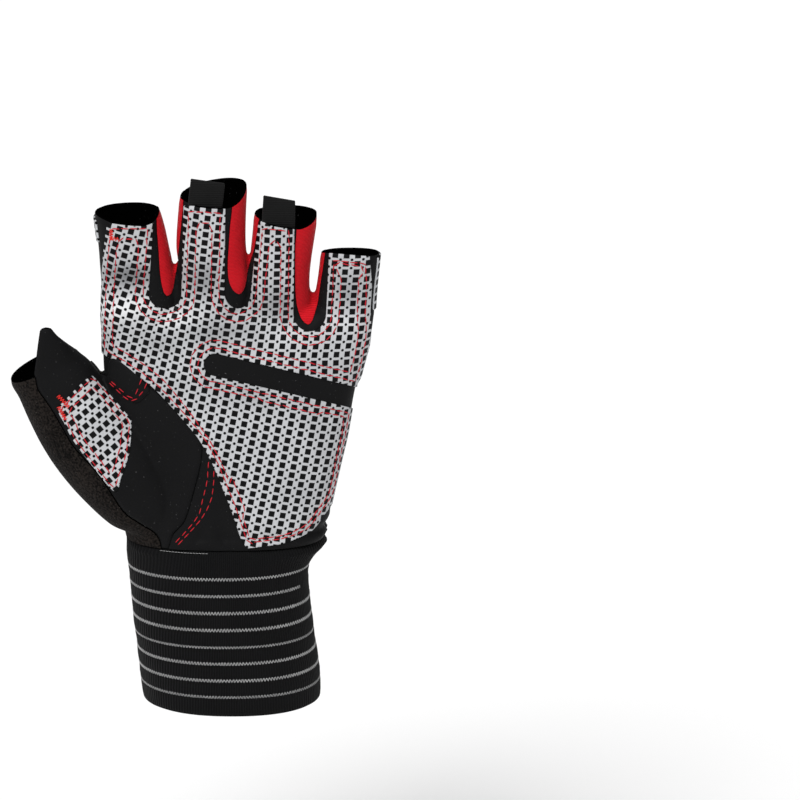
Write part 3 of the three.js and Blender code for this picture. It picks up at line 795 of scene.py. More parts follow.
PEAK = [
    (-74.7, 121.3), (-73.9, 126.1), (-72.3, 136), (-71.7, 137.7), (-69.8, 138.4), (-67.6, 138.1),
    (-65.2, 135.8), (-61.3, 133.2), (-57, 130.6), (-52, 125.6), (-47.9, 121.1),
]
BACK_SEAM = [(-50, 131.5), (-39.6, 119), (-33.2, 101), (-30, 83), (-28, 56)]


def smooth_outline():
    return np.array([
        *flowing(PEAK, LINE_STEP)[:-1],
        *flowing(THUMB_SEAM, LINE_STEP),
        *flowing(TERRY_SEAM[::-1], LINE_STEP)[:-1],
    ])


def web_outline(seam):
    line = flowing(seam, LINE_STEP)
    return np.array([(line[0][0], FAR), *line, (line[-1][0], FAR)])


print("fork seams:", len(WEB_SEAMS), "with", sum(len(seam) for seam in WEB_SEAMS), "points")

# %% [markdown]
# The cloth ends at open rims. A finger's rim slopes, and it sags a little in front, where the hand goes in.
# One level cut would be simpler, but the tubes would look stiff, so each finger has its own row in a table.

# %% Cut the open rims
HEM_GAP, RIM_DEPTH, INSIDE = 0.3, 10.0, -5.0
THUMB_SIDE, THUMB_FOOT = -52.5, 95.0
hem = WRAP_TOP + HEM_GAP
RIMS = table(
    "middle rim side_slope back_slope front_sag front_slope grip_top grip_slope inset gap",
    (-39.2, 194.9, 0.05, -0.02, 2.2, -0.15, 178.8, 0.0, 0.3, 1.1),
    (-6.2, 202.9, 0.18, 0.1, 2.2, -0.24, 184.5, -0.05, 0.0, 1.1),
    (21.9, 193.9, 0.0, -0.02, 2.5, -0.14, 178.1, -0.1, 0.5, 1.8),
    (46.2, 178.4, 0.0, -0.1, -1.2, -0.12, 166.6, -0.12, 0.8, -1.9),
)
BETWEEN_FINGERS = [-23.4, 7.9, 32.9]
THUMB_RIM = [((-73.2, 0.0, 132.6), 26.5), ((-63.0, 0.0, 136.0), -32.0)]


def finger_rows(v):
    """The row of the rim table for the finger that each point belongs to."""
    nearest = np.searchsorted(BETWEEN_FINGERS, v[:, 0])
    return {key: values[nearest] for key, values in RIMS.items()}


def past_rims(v):
    """How far a point is past its finger's rim: over zero is cut off."""
    row = finger_rows(v)
    side, front = v[:, 0] - row["middle"], np.clip(-v[:, 1] / RIM_DEPTH, 0, 1)
    rim = row["rim"] + side * (row["side_slope"] + front * row["front_slope"])
    rim += v[:, 1] * row["back_slope"] - row["front_sag"] * front**2
    return v[:, 2] - rim


def past_thumb_rim(v):
    """How far a point is past the thumb's rim, which falls off again towards the web."""
    past = []
    for centre, turn in THUMB_RIM:
        turn = math.radians(turn)
        past.append((v - np.array(centre)) @ np.array([-math.sin(turn), 0, math.cos(turn)]))
    return np.maximum(*past)


def on_thumb(v):
    """True where a point belongs to the thumb's free end."""
    return (v[:, 0] < THUMB_SIDE) & (v[:, 2] > THUMB_FOOT)


body = cut(form, hem - form["v"][:, 2])
body = cut(body, np.where(on_thumb(body["v"]), INSIDE, past_rims(body["v"])))
print("open skin:", len(body["f"]), "triangles")

# %% Measure from the seams
WEB_BACK = 7.0


def fields(skin):
    """The distances that the seams are made of, at each point of the skin."""
    v = skin["v"]
    plane = leaning(v)
    webs = np.min([polygon_distance(plane, web_outline(seam)) for seam in WEB_SEAMS], axis=0)
    smooth = polygon_distance(plane, smooth_outline())
    terry = polygon_distance(plane, np.array([*flowing(TERRY_SEAM, LINE_STEP), (-FAR, 50), (-FAR, 120.8)]))
    back = polygon_distance(
        v[:, [0, 2]], np.array([*flowing(BACK_SEAM, LINE_STEP), (-FAR, 56), (-FAR, FAR), (-52.5, FAR)])
    )
    thumb = [*flowing(THUMB_SEAM, LINE_STEP), (-FAR, 50), (-FAR, FAR), (-53, FAR), (-53, 124)]
    return {
        "front": v[:, 1],
        "web": np.maximum(webs, v[:, 1] - WEB_BACK),
        "smooth": np.maximum(smooth, v[:, 1]),
        "terry": np.minimum(
            np.maximum(np.maximum(terry, -smooth), v[:, 1]), np.maximum(back, -v[:, 1])
        ),
        "thumb_front": np.maximum(polygon_distance(plane, np.array(thumb)), v[:, 1]),
        "back": back,
    }


d = fields(body)
print("seam distances:", ", ".join(d))

# %% [markdown]
# The wall of a panel grows inwards from the form, so that the glove keeps its size. At each seam the cloth
# dips, because the stitches pull it down, and the dip follows from the distance to the panel's own edge.

# %% Give a piece its wall
def area_of(skin):
    v, f = skin["v"], skin["f"]
    return np.linalg.norm(np.cross(v[f[:, 1]] - v[f[:, 0]], v[f[:, 2]] - v[f[:, 0]]), axis=1).sum() / 2


def thickened(name, skin, outer, inner, materials, bulge=0.2, dark_edge=False):
    """A closed cloth mesh from a skin: its face at outer, its lining at inner, and a rounded edge between.
    The inner face takes the last finish, and the edge takes it too where asked: this darkens the edges with
    painted shade when the last finish is the near-black lining.
    """
    v, n, f = skin["v"], skin["n"], skin["f"]
    outer, inner = np.broadcast_to(outer, len(v)), np.broadcast_to(inner, len(v))
    edges = rim_edges(f)
    out = np.zeros_like(v)
    for end in (0, 1):
        np.add.at(out, edges[:, end], np.cross(v[edges[:, 1]] - v[edges[:, 0]], n[edges[:, end]]))
    length = np.maximum(np.linalg.norm(out, axis=1, keepdims=True), 1e-9)
    wall = (outer - inner)[:, None]
    middle = v + n * ((outer + inner) / 2)[:, None] + out / length * wall * bulge
    rim, place = np.unique(edges, return_inverse=True)
    ends = place.reshape(-1, 2) + 2 * len(v)
    points = np.vstack([v + n * outer[:, None], v + n * inner[:, None], middle[rim]])
    a, b = edges.T
    ma, mb = ends.T
    strips = np.vstack([
        np.column_stack(t)
        for t in ((b, a, ma), (b, ma, mb), (mb, ma, a + len(v)), (mb, a + len(v), b + len(v)))
    ])
    faces = np.vstack([f, strips, f[:, ::-1] + len(v)])
    obj = mesh_object(name, points, faces)
    for material in materials:
        obj.data.materials.append(material)
    # Painted shade: the inner faces take the last finish, and where asked the cut edges do too, so the rims
    # of the sewn panels show near black.
    slots = np.zeros(len(faces), np.int32)
    slots[len(f) + (0 if dark_edge else len(strips)):] = len(materials) - 1
    obj.data.polygons.foreach_set("material_index", slots)
    obj.data.polygons.foreach_set("use_smooth", np.ones(len(faces), bool))
    # The dents' heights go with the mesh as an attribute, for the painted shade and painted highlight of the
    # grip cloth.
    if "crease" in skin:
        values = np.concatenate([skin["crease"], skin["crease"], skin["crease"][rim]]).astype(np.float32)
        obj.data.attributes.new("crease", "FLOAT", "POINT").data.foreach_set("value", values)
    if "uv" in skin:
        uv = np.vstack([skin["uv"], skin["uv"], skin["uv"][rim]])
        layer = obj.data.uv_layers.new(name="cloth")
        layer.data.foreach_set("uv", uv[faces.ravel()].astype(np.float32).ravel())
    return obj


print("skin of the whole glove:", round(area_of(body) / 100), "cm2")

# %% Sew the panels
CLOTH = 1.3
SEAM_DIP = 0.45
SEAM_REACH = 1.5
FORK_REACH = 15.0
BODY = "root"


def cloth_piece(name, skin, outer, inner, materials, slot, flat, **edge):
    """A walled piece of cloth, on its body, in place of the node that it stands for. Its slot and its flat
    size are not used.
    """
    obj = thickened(name, skin, outer, inner, materials, **edge)
    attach(obj, BODY)
    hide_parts(obj.name.replace("cloth_", ""))


def cloth_panel(name, skin, materials, slot, flat, depth=SEAM_DIP, reach=SEAM_REACH):
    """A sewn panel that stands for the node of its name."""
    near = rim_distance(skin)
    outer = -depth * np.exp(-(near / reach) ** 2)
    cloth_piece(name, skin, outer, outer - CLOTH, materials, slot, flat, bulge=0.15, dark_edge=True)


palm = cut(body, np.maximum(np.maximum(d["front"], -d["web"]), -d["thumb_front"]))
cloth_panel("cloth_palm_base", palm, [SMOOTH, LINING_AND_SHADE], "smooth_black", (112, 135))
back = cut(body, np.maximum(np.maximum(-d["front"], -d["web"]), -d["back"]))
cloth_panel("cloth_hand_back", back, [BACK, LINING_AND_SHADE], "back_stretch", (125, 140))
web_names = ["fourchette_index_middle", "fourchette_middle_ring", "fourchette_ring_little"]
for name, x in zip(web_names, WEB_DROPS["x"]):
    panel = cut(body, np.maximum(d["web"], np.abs(body["v"][:, 0] - x) - FORK_REACH))
    cloth_panel("cloth_" + name, panel, [RED, LINING_AND_SHADE], "red_stretch", (30, 75), depth=0.25)
smooth = cut(body, d["smooth"])
cloth_panel("cloth_thumb_palm", smooth, [SMOOTH, LINING_AND_SHADE], "smooth_black", (75, 85), depth=0.9, reach=0.8)
terry = cut(body, d["terry"])
terry = cut(terry, np.where(on_thumb(terry["v"]), past_thumb_rim(terry["v"]), INSIDE))
cloth_panel("cloth_thumb_back", terry, [TERRY, LINING_AND_SHADE], "terry", (85, 110), depth=0.3)

# %% [markdown]
# The grip cloth is a flat piece that is laid over the palm and the fingers, so its print has to lie flat in
# the cloth. The skin under it is unwrapped, which is what flattening the cloth would do, and the map is
# turned and scaled until its millimetres agree with the glove's.

# %% Outline of the grip cloth
GRIP_INNER = [
    (-48.1, 129.1), (-38, 122.9), (-30.2, 117.1), (-24, 110.9), (-17.1, 103.1), (-11.6, 96.1),
    (-7, 87.6), (-3.1, 78.3), (0.8, 68.2), (3.9, 58.9), (6.2, 55.4),
]
GRIP_HEEL = [
    (6.2, 55.4), (13, 56.2), (20.1, 57.3), (27.9, 60.5), (31.8, 63.6), (35.7, 69), (38.8, 73.6),
    (40.3, 77.5), (42.7, 89.1), (45, 99.2), (46.5, 108.3),
]
GRIP_OUTER = [(47.9, 116.6), (50.8, 125.3), (52.8, 136.1), (52.7, 145.8), (53.2, 155.5), (52.5, 165.4)]
GRIP_INDEX = [(-46.3, 178.8), (-47.2, 173), (-48.2, 163), (-48.7, 153.4), (-49.3, 133), (-49, 130.2)]
SLOT_END = (-6.0, 125.0)
SLOT_HALF = 4.4
GRIP_CUTS = table(
    "left_top left_low right_low right_top low bottom",
    (-29.0, -31.2, -18.3, -17.3, 151.5, 146.1),
    (-2.0, -2.5, 8.1, 11.7, 152.5, 146.1),
    (24.2, 23.6, 36.4, 38.6, 144.5, 137.4),
)
CUT_TOP = 186


def grip_cut(left_top, left_low, right_low, right_top, low, bottom):
    """The cut that the grip leaves round a web: down the left edge, round the bottom, up the right edge."""
    middle, half = (left_low + right_low) / 2, (right_low - left_low) / 2
    angles = np.linspace(math.pi, 2 * math.pi, 13)
    arc = [(middle + half * math.cos(a), low + (low - bottom) * math.sin(a)) for a in angles]
    return [(left_top, FAR), (left_top, CUT_TOP), *arc, (right_top, CUT_TOP), (right_top, FAR)]


def grip_outline():
    end = np.array(SLOT_END)
    upper, lower = np.array(GRIP_OUTER[0]), np.array(GRIP_HEEL[-1])
    facing = math.atan2(*(end - (upper + lower) / 2)[::-1])
    angles = facing - math.pi / 2 + np.linspace(0, math.pi, 13)
    slot = [end + SLOT_HALF * np.array([math.cos(a), math.sin(a)]) for a in angles]
    points = [*flowing(GRIP_INDEX[::-1], LINE_STEP), (GRIP_INDEX[0][0], FAR)]
    for row in zip(*GRIP_CUTS.values()):
        points += grip_cut(*row)
    points += [(GRIP_OUTER[-1][0], FAR), *flowing(GRIP_OUTER[::-1], LINE_STEP), *slot]
    points += [*flowing(GRIP_HEEL[::-1], LINE_STEP)[:-1], *flowing(GRIP_INNER[::-1], LINE_STEP)]
    return np.array(points)


def past_grip_top(v):
    """How far a point of the leaning plane is past the top edge of the grip cloth on its finger."""
    row = finger_rows(v)
    return leaning(v)[:, 1] - row["grip_top"] - (v[:, 0] - row["middle"]) * row["grip_slope"]


print("outline of the grip cloth:", len(grip_outline()), "points")

# %% Lay the grip cloth
GRIP_LIFT = -0.4
GRIP_WALL = 0.95
FRONT_ONLY = 1.0
PAINTED_SHADING_SHIFT = [0, 0, 1.5]
PRINT_PULL, PRINT_PIVOT = 0.11, 136.0
PULL_FROM, PULL_WIDTH = -2.0, 11.0


def flattened(skin):
    """A flat map of the skin in MAP_UNIT, upright as the skin stands."""
    obj = mesh_object("flat", skin["v"], skin["f"])
    for other in bpy.context.selected_objects:
        other.select_set(False)
    bpy.context.view_layer.objects.active = obj
    obj.select_set(True)
    obj.data.uv_layers.new(name="flat")
    bpy.ops.object.mode_set(mode="EDIT")
    bpy.ops.mesh.select_all(action="SELECT")
    bpy.ops.uv.unwrap(method="ANGLE_BASED", margin=0.0)
    bpy.ops.object.mode_set(mode="OBJECT")
    loops = np.empty(len(obj.data.loops) * 2)
    obj.data.uv_layers[0].data.foreach_get("uv", loops)
    corner = np.empty(len(obj.data.loops), np.int32)
    obj.data.loops.foreach_get("vertex_index", corner)
    uv = np.zeros((len(skin["v"]), 2))
    uv[corner] = loops.reshape(-1, 2)
    bpy.data.objects.remove(obj)
    a, b, c = (uv[skin["f"][:, k]] for k in range(3))
    flat_area = np.abs(np.cross(b - a, c - a)).sum() / 2
    uv = (uv - uv.mean(axis=0)) * math.sqrt(area_of(skin) / max(flat_area, 1e-12))
    target = skin["v"][:, [0, 2]]
    u, _, w = np.linalg.svd(uv.T @ (target - target.mean(axis=0)))
    return (uv @ (u @ w) + target.mean(axis=0)) / MAP_UNIT


def lay_grip(name, skin, material, flat):
    """A piece of grip cloth that lies on the panels and is let into them a little."""
    cloth_piece(name, skin, GRIP_LIFT + GRIP_WALL, GRIP_LIFT, [material, LINING_AND_SHADE], "grip", flat)


over = cut(body, d["front"] + FRONT_ONLY)
over = cut(over, polygon_distance(leaning(over["v"]), grip_outline()))
over = cut(over, past_grip_top(over["v"]))
over["uv"] = flattened(over)
past = np.clip(over["uv"][:, 1] * MAP_UNIT - PRINT_PIVOT, 0, None)
pulled = np.clip((over["v"][:, 0] - PULL_FROM) / PULL_WIDTH, 0, 1)
over["uv"][:, 0] -= PRINT_PULL * pulled * past / MAP_UNIT
# The dents' heights, a little higher up, for the painted shade in the dents and the painted highlight on the
# swells of the silver.
over["crease"] = creases(over["v"] - PAINTED_SHADING_SHIFT)
lay_grip("cloth_palm_grip", over, GRIP, (112, 150))

# %% [markdown]
# The thumb has a patch of the same cloth, where it presses against a bar. It is drawn, cut and laid in the
# same way, and its print runs along the thumb.

# %% Lay the patch of the thumb
THUMB_PATCH = [
    (-54, 119.9), (-50.8, 118.6), (-38.9, 105.4), (-37.9, 102.3), (-38.4, 94.1), (-39.5, 88.5),
    (-41.7, 82.4), (-44.1, 77.1), (-51.8, 85.9), (-59.4, 96), (-62.8, 102.5), (-65.3, 107.9),
    (-62.2, 112),
]
patch_outline = flowing(THUMB_PATCH, LINE_STEP, True)
patch = cut(body, np.maximum(d["front"], polygon_distance(leaning(body["v"]), patch_outline)))
patch["uv"] = flattened(patch)
lay_grip("cloth_thumb_grip", patch, THUMB_GRIP, (34, 48))

# %% [markdown]
# Two narrow strips of the same grip cloth close the outer sides of the index and the little finger, and a
# small black tongue reinforces the web of the thumb. All three are cut out of the same form, only a little
# proud of it.

# %% Add the strips and the tongue
TONGUE = [
    (-46, 118.9), (-41, 114.5), (-36.2, 110.7), (-34.2, 111.6), (-32.5, 113.3), (-30.9, 116),
    (-38, 123.5), (-45, 127.5),
]
TONGUE_LIFT, TONGUE_DIP, TONGUE_REACH = 1.0, 0.5, 0.6
STRIP_OUT, STRIP_IN = 0.5, -0.3
INDEX_SIDE, LITTLE_SIDE = -30, 45


def side_strip(name, off_side, depths, heights, flat):
    """A strip between two depths and two heights. off_side is over zero away from the finger's outer side."""
    (front, rear), (low, high) = depths, heights
    y, z = body["v"][:, 1], body["v"][:, 2]
    strip = cut(body, np.max([front - y, y - rear, low - z, z - high, off_side], axis=0))
    strip["uv"] = strip["v"][:, 1:] / MAP_UNIT
    cloth_piece(name, strip, STRIP_OUT, STRIP_IN, [SIDE_GRIP, LINING_AND_SHADE], "grip", flat)


body_x = body["v"][:, 0]
side_strip("cloth_side_grip_index", body_x - INDEX_SIDE, (-4.5, 6.2), (183.9, 192.5), (12, 11))
side_strip("cloth_side_grip_little", LITTLE_SIDE - body_x, (-3.4, 6.2), (156.4, 177.5), (13, 22))
tongue_outline = flowing(TONGUE, LINE_STEP, True)
tongue = cut(body, np.maximum(d["front"] + FRONT_ONLY, polygon_distance(leaning(body["v"]), tongue_outline)))
outer = TONGUE_LIFT - TONGUE_DIP * np.exp(-rim_distance(tongue) / TONGUE_REACH)
cloth_piece("cloth_thumb_web_tongue", tongue, outer, 0.0, [SMOOTH, LINING_AND_SHADE], "smooth_black", (18, 20))

# %% [markdown]
# The pull tabs are short pieces of tape, folded over and caught in the rim, for pulling the glove off. A
# tape is a grid that follows a folded profile: up in front, round the fold, and down again behind.

# %% Fold the pull tabs
TAPE = 0.9
FOLD = 0.75
TAPE_COLUMNS, TAPE_ROWS, FOLD_ROWS = 25, 22, 9
TAB_FRONT, TAB_BELLY, TAB_SPREAD = -8.4, 0.25, 0.2


def pull_tab(name, low_left, low_right, top_left, top_right, flat):
    """A folded tape. Its four corners are x and z of the front layer."""
    across = np.linspace(0, 1, TAPE_COLUMNS)[:, None]
    low = np.array(low_left) * (1 - across) + np.array(low_right) * across
    top = np.array(top_left) * (1 - across) + np.array(top_right) * across

    def row(place, y):
        return np.column_stack([place, np.full(TAPE_COLUMNS, y)])

    rows = []
    for t in np.linspace(0, 1, TAPE_ROWS)[:-1]:
        rows.append(row(low + (top - low) * t, TAB_FRONT + TAB_BELLY * math.sin(t * math.pi)))
    for a in np.linspace(0, math.pi, FOLD_ROWS):
        rows.append(row(top + [0, FOLD * math.sin(a)], TAB_FRONT + FOLD * (1 - math.cos(a))))
    for t in np.linspace(1, 0, TAPE_ROWS)[1:]:
        rows.append(row(low + (top - low) * t, TAB_FRONT + 2 * FOLD + TAB_SPREAD * (1 - t)))
    v = np.array(rows)[:, :, [0, 2, 1]].reshape(-1, 3)
    quads = [
        (i + k, i + k + 1, i + TAPE_COLUMNS + k + 1, i + TAPE_COLUMNS + k)
        for i in range(0, len(v) - TAPE_COLUMNS, TAPE_COLUMNS)
        for k in range(TAPE_COLUMNS - 1)
    ]
    f = triangles(v, np.array(quads))
    skin = {"v": v, "f": f, "n": normals_of(v, f)}
    cloth_piece(name, skin, TAPE / 2, -TAPE / 2, [WEBBING], "webbing", flat, bulge=0.3)


pull_tab("cloth_pull_tab_middle", (-16.0, 198.2), (-3.5, 197.0), (-14.8, 209.4), (-2.4, 207.6), (12.5, 25))
pull_tab("cloth_pull_tab_ring", (12.0, 190.4), (24.2, 189.4), (12.7, 202.7), (24.3, 200.6), (12.2, 25))

# %% [markdown]
# The wrist wrap is one wide knitted elastic, sewn to the hand where its top edge gathers. A real one is a
# flat band closed to a ring, so it is made as one ring of skin with a wall, and its hems round off by
# themselves.

# %% Make the wrist wrap
WRAP = table(
    "z left right depth",
    (0.4, -33.8, 33.8, 26.4),
    (10, -35.1, 33.6, 26.1),
    (20, -36.05, 32.2, 25.3),
    (33, -37.6, 30.6, 24.0),
    (46.7, -38.8, 29.4, 22.3),
    (52, -39.3, 29.6, 21.6),
    (55, -39.6, 30.4, 21.2),
    (58.5, -39.95, 32.9, 20.8),
    (60.4, -40.1, 35.0, 20.85),
    (62, -40.3, 36.1, 20.9),
    (64.2, -40.5, 35.4, 20.5),
)
WRAP_WALL = 2.2
WRAP_SIDES = 420
STRIPES = 7.7 + 6.586 * np.arange(8)
STRIPE_SINK, STRIPE_REACH = 0.25, 0.8
COURSE_PITCH, COURSE_RISE = 1.65, 0.12
GATHERS, GATHER_RISE, GATHER_HEIGHT, GATHER_REACH = 9, 0.5, 62.5, 1.6
GROOVE_SINK, GROOVE_HEIGHT, GROOVE_REACH = 0.5, 61.2, 0.35
LOW_HEM, TOP_HEM, TOP_HEM_SINK = 0.8, 63.8, 0.3


def ring_skin(sections, squareness, sides):
    v, faces = tube(sections, squareness, sides)
    f = triangles(v, np.array(faces[:-2]))
    return {"v": v, "f": f, "n": normals_of(v, f)}


wrap = ring_skin(upright_sections(WRAP), TUBE_SQUARENESS, WRAP_SIDES)
height = wrap["v"][:, 2]
angle = np.arctan2(wrap["v"][:, 1], wrap["v"][:, 0])
to_stripe = np.min(np.abs(height[:, None] - STRIPES), axis=1)
gathered = GATHER_RISE * np.exp(-((height - GATHER_HEIGHT) / GATHER_REACH) ** 2)
outer = COURSE_RISE * np.sin(height * 2 * math.pi / COURSE_PITCH) + gathered * np.sin(angle * GATHERS + 1)
outer -= STRIPE_SINK * np.exp(-(to_stripe / STRIPE_REACH) ** 2)
outer[height < LOW_HEM] = 0.0
outer[height > TOP_HEM] -= TOP_HEM_SINK
outer -= GROOVE_SINK * np.exp(-((height - GROOVE_HEIGHT) / GROOVE_REACH) ** 2)
wrap_cloth = [ELASTIC, LINING_AND_SHADE]
cloth_piece("cloth_wrist_wrap", wrap, outer, outer - WRAP_WALL, wrap_cloth, "elastic", (185, 66), bulge=0.3)

# %% [markdown]
# Thread is the most repeated thing on the glove, so a geometry node group sews it: along each line it sets
# short rounded stitches at a pitch, flat on the cloth, and tilts them to one side and the other where the
# seam is a zigzag. The lines themselves follow the cloth: they are level lines of the distance to the
# cloth's edge.

# %% The stitch group
def stitch_group():
    tree, given, out = group(
        "stitch run",
        {
            "Geometry": ("NodeSocketGeometry", None),
            "Pitch": ("NodeSocketFloat", 0.0036),
            "Length": ("NodeSocketFloat", 0.0026),
            "Thickness": ("NodeSocketFloat", 0.0005),
            "Tilt": ("NodeSocketFloat", 0.0),
            "Wander": ("NodeSocketFloat", 0.08),
            "Detail": ("NodeSocketInt", 2),
            "Seed": ("NodeSocketInt", 5),
            "Material": ("NodeSocketMaterial", None),
        },
        {"Geometry": "NodeSocketGeometry"},
        kind="GeometryNodeTree",
    )
    curve = node(tree, "GeometryNodeMeshToCurve", {"Mesh": given.outputs["Geometry"]})
    spaced = {"Curve": curve.outputs[0], "Length": given.outputs["Pitch"]}
    run = node(tree, "GeometryNodeCurveToPoints", spaced, mode="LENGTH")
    up = node(tree, "GeometryNodeInputNamedAttribute", {"Name": "up"}, data_type="FLOAT_VECTOR")
    along = node(
        tree, "FunctionNodeAxesToRotation",
        {"Primary Axis": run.outputs["Tangent"], "Secondary Axis": up.outputs[0]},
        primary_axis="Z", secondary_axis="X",
    )
    index = node(tree, "GeometryNodeInputIndex").outputs[0]
    side = maths(tree, "MULTIPLY_ADD", maths(tree, "MODULO", index, 2.0), 2.0, -1.0)
    wander = node(
        tree, "FunctionNodeRandomValue",
        {
            "Min": maths(tree, "MULTIPLY", given.outputs["Wander"], -1.0),
            "Max": given.outputs["Wander"],
            "ID": index,
            "Seed": given.outputs["Seed"],
        },
        data_type="FLOAT",
    )
    lean = maths(tree, "MULTIPLY_ADD", side, given.outputs["Tilt"], wander.outputs["Value"])
    tilt = node(tree, "FunctionNodeAxisAngleToRotation", {"Axis": (1, 0, 0), "Angle": lean})
    turned = node(
        tree, "FunctionNodeRotateRotation", {"Rotation": along.outputs[0], "Rotate By": tilt.outputs[0]},
        rotation_space="LOCAL",
    )
    stitch = node(tree, "GeometryNodeMeshIcoSphere", {"Radius": 0.5, "Subdivisions": given.outputs["Detail"]})
    size = node(
        tree, "ShaderNodeCombineXYZ",
        {0: given.outputs["Thickness"], 1: given.outputs["Thickness"], 2: given.outputs["Length"]},
    )
    sewn = node(
        tree, "GeometryNodeInstanceOnPoints",
        {
            "Points": run.outputs["Points"],
            "Instance": stitch.outputs["Mesh"],
            "Rotation": turned.outputs[0],
            "Scale": size.outputs[0],
        },
    )
    real = node(tree, "GeometryNodeRealizeInstances", {"Geometry": sewn.outputs[0]})
    smooth = node(tree, "GeometryNodeSetShadeSmooth", {"Geometry": real.outputs[0]})
    dyed = {"Geometry": smooth.outputs[0], "Material": given.outputs["Material"]}
    feed(tree, out.inputs[0], node(tree, "GeometryNodeSetMaterial", dyed).outputs[0])
    return tree


STITCHES = stitch_group()
print("stitch group:", len(STITCHES.nodes), "nodes")

# %% Sew along lines
def sewn(name, lines, material, slot, **settings):
    """Thread sewn along lines, each a run of points and their normals, as one plain mesh."""
    points, ups, edges = [], [], []
    for line, up in lines:
        edges += [(len(points) + i, len(points) + i + 1) for i in range(len(line) - 1)]
        points += list(line)
        ups += list(up)
    mesh = bpy.data.meshes.new(name)
    mesh.from_pydata((np.array(points) * MM).tolist(), edges, [])
    layer = mesh.attributes.new("up", "FLOAT_VECTOR", "POINT")
    layer.data.foreach_set("vector", np.array(ups, np.float32).ravel())
    obj = placed(name, mesh)
    modifier = obj.modifiers.new("stitches", "NODES")
    modifier.node_group = STITCHES
    settings["Material"] = material
    for item in STITCHES.interface.items_tree:
        if item.in_out == "INPUT" and item.name in settings:
            modifier[item.identifier] = settings[item.name]
    finished = settled_mesh(obj)
    obj.modifiers.clear()
    obj.data = finished
    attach(obj, BODY)
    print(name, len(lines), "lines,", len(finished.polygons), "faces")


def chains(edges):
    """Edges joined end to end into runs of point numbers."""
    ties = {}
    for a, b in edges.tolist():
        ties.setdefault(a, set()).add(b)
        ties.setdefault(b, set()).add(a)
    runs = []
    for start in sorted(ties, key=lambda i: len(ties[i]) != 1):
        run = [start]
        while ties[run[-1]]:
            following = min(ties[run[-1]])
            ties[run[-1]].discard(following)
            ties[following].discard(run[-1])
            run.append(following)
        if len(run) > 4:
            runs.append(run)
    return runs


def contours(skin, values, level, lift):
    """Smooth lines lift above the skin where values are level, each with its normals."""
    skin, values = split(skin, values, level)
    on = np.abs(values - level) < 1e-9
    f = skin["f"]
    edges = np.unique(np.sort(np.vstack([f[:, [k, (k + 1) % 3]] for k in range(3)]), axis=1), axis=0)
    edges = edges[on[edges].all(axis=1)]
    lines = []
    for run in chains(edges):
        line = skin["v"][run] + skin["n"][run] * lift
        for _ in range(4):
            line[1:-1] = line[1:-1] * 0.5 + (line[:-2] + line[2:]) * 0.25
        lines.append((line, skin["n"][run]))
    return lines


print("level line round the wrap:", len(contours(wrap, height, STRIPES[0], 0.0)[0][0]), "points")

# %% [markdown]
# On the grip cloth the seams run double: the first close to the edge, the second further in, except along
# the heel, where the two nearly touch.

# %% Sew the grip cloth down
FIRST_SEAM = 1.9
SEAM_GAP = (1.3, 2.9)
PATCH_SEAMS = (1.1, 3.8)
HEEL_TOP, HEEL_FADE, SLOT_FOOT, HEEL_REACH = 100, 20, 112, 9
SEAM_LIFT = 0.05
THREAD_LIFT = GRIP_LIFT + GRIP_WALL + SEAM_LIFT
RED_STITCH = {"Pitch": 0.0034, "Length": 0.0031, "Thickness": 0.00045, "Wander": 0.13}


def seam_gap(v):
    """The distance between the two seams: narrow round the heel, wide elsewhere."""
    plane = leaning(v)
    wide = np.clip((plane[:, 1] - HEEL_TOP) / HEEL_FADE, 0, 1)
    below_slot = (plane[:, 0] > 0) & (plane[:, 1] < SLOT_FOOT)
    off_heel = np.abs(polygon_distance(plane, flowing(GRIP_HEEL, LINE_STEP))) > HEEL_REACH
    top = finger_rows(v)["gap"] * np.clip(past_grip_top(v) / 3 + 3, 0, 1)
    return SEAM_GAP[0] + (SEAM_GAP[1] - SEAM_GAP[0]) * np.where(below_slot & off_heel, 1.0, wide) + top


from_outline = -polygon_distance(leaning(over["v"]), grip_outline())
from_top = -past_grip_top(over["v"]) - finger_rows(over["v"])["inset"]
grip_near = np.minimum(from_outline, from_top)
double = contours(over, grip_near, FIRST_SEAM, THREAD_LIFT)
double += contours(over, grip_near - seam_gap(over["v"]), FIRST_SEAM, THREAD_LIFT)
patch_near = rim_distance(patch)
for level in PATCH_SEAMS:
    double += contours(patch, patch_near, level, THREAD_LIFT)
sewn("seams_on_grip", double, RED_THREAD, "grip", **RED_STITCH)

# %% [markdown]
# The seams on the plain black cloth follow no edge of their own piece, so their lines are given as they are
# seen from the front, in steps of the picture that the glove was measured in, and are pushed back onto the
# hand form. Short dense zigzags, the bar tacks, lock the ends that get pulled.

# %% Seams on the black cloth and bar tacks
MIDDLE_STEP, FOOT_STEP, STEP_SIZE = 231, 693.8, 0.38


def on_form(points, lift):
    """Points of the leaning plane pushed back onto the hand form, with their normals."""
    line, up = [], []
    into = Vector((0, math.cos(LEAN), -math.sin(LEAN)))
    for x, u in points:
        start = Vector((x, u * math.sin(LEAN), u * math.cos(LEAN))) - into * 100
        place, normal, _, _ = form_tree.ray_cast(start, into)
        if place is not None:
            line.append(np.array(place) + np.array(normal) * lift)
            up.append(np.array(normal))
    return np.array(line), np.array(up)


def seen(*steps):
    """Points of the leaning plane from places in the picture, counted from its top left corner."""
    return [((x - MIDDLE_STEP) * STEP_SIZE, (FOOT_STEP - y) * STEP_SIZE) for x, y in steps]


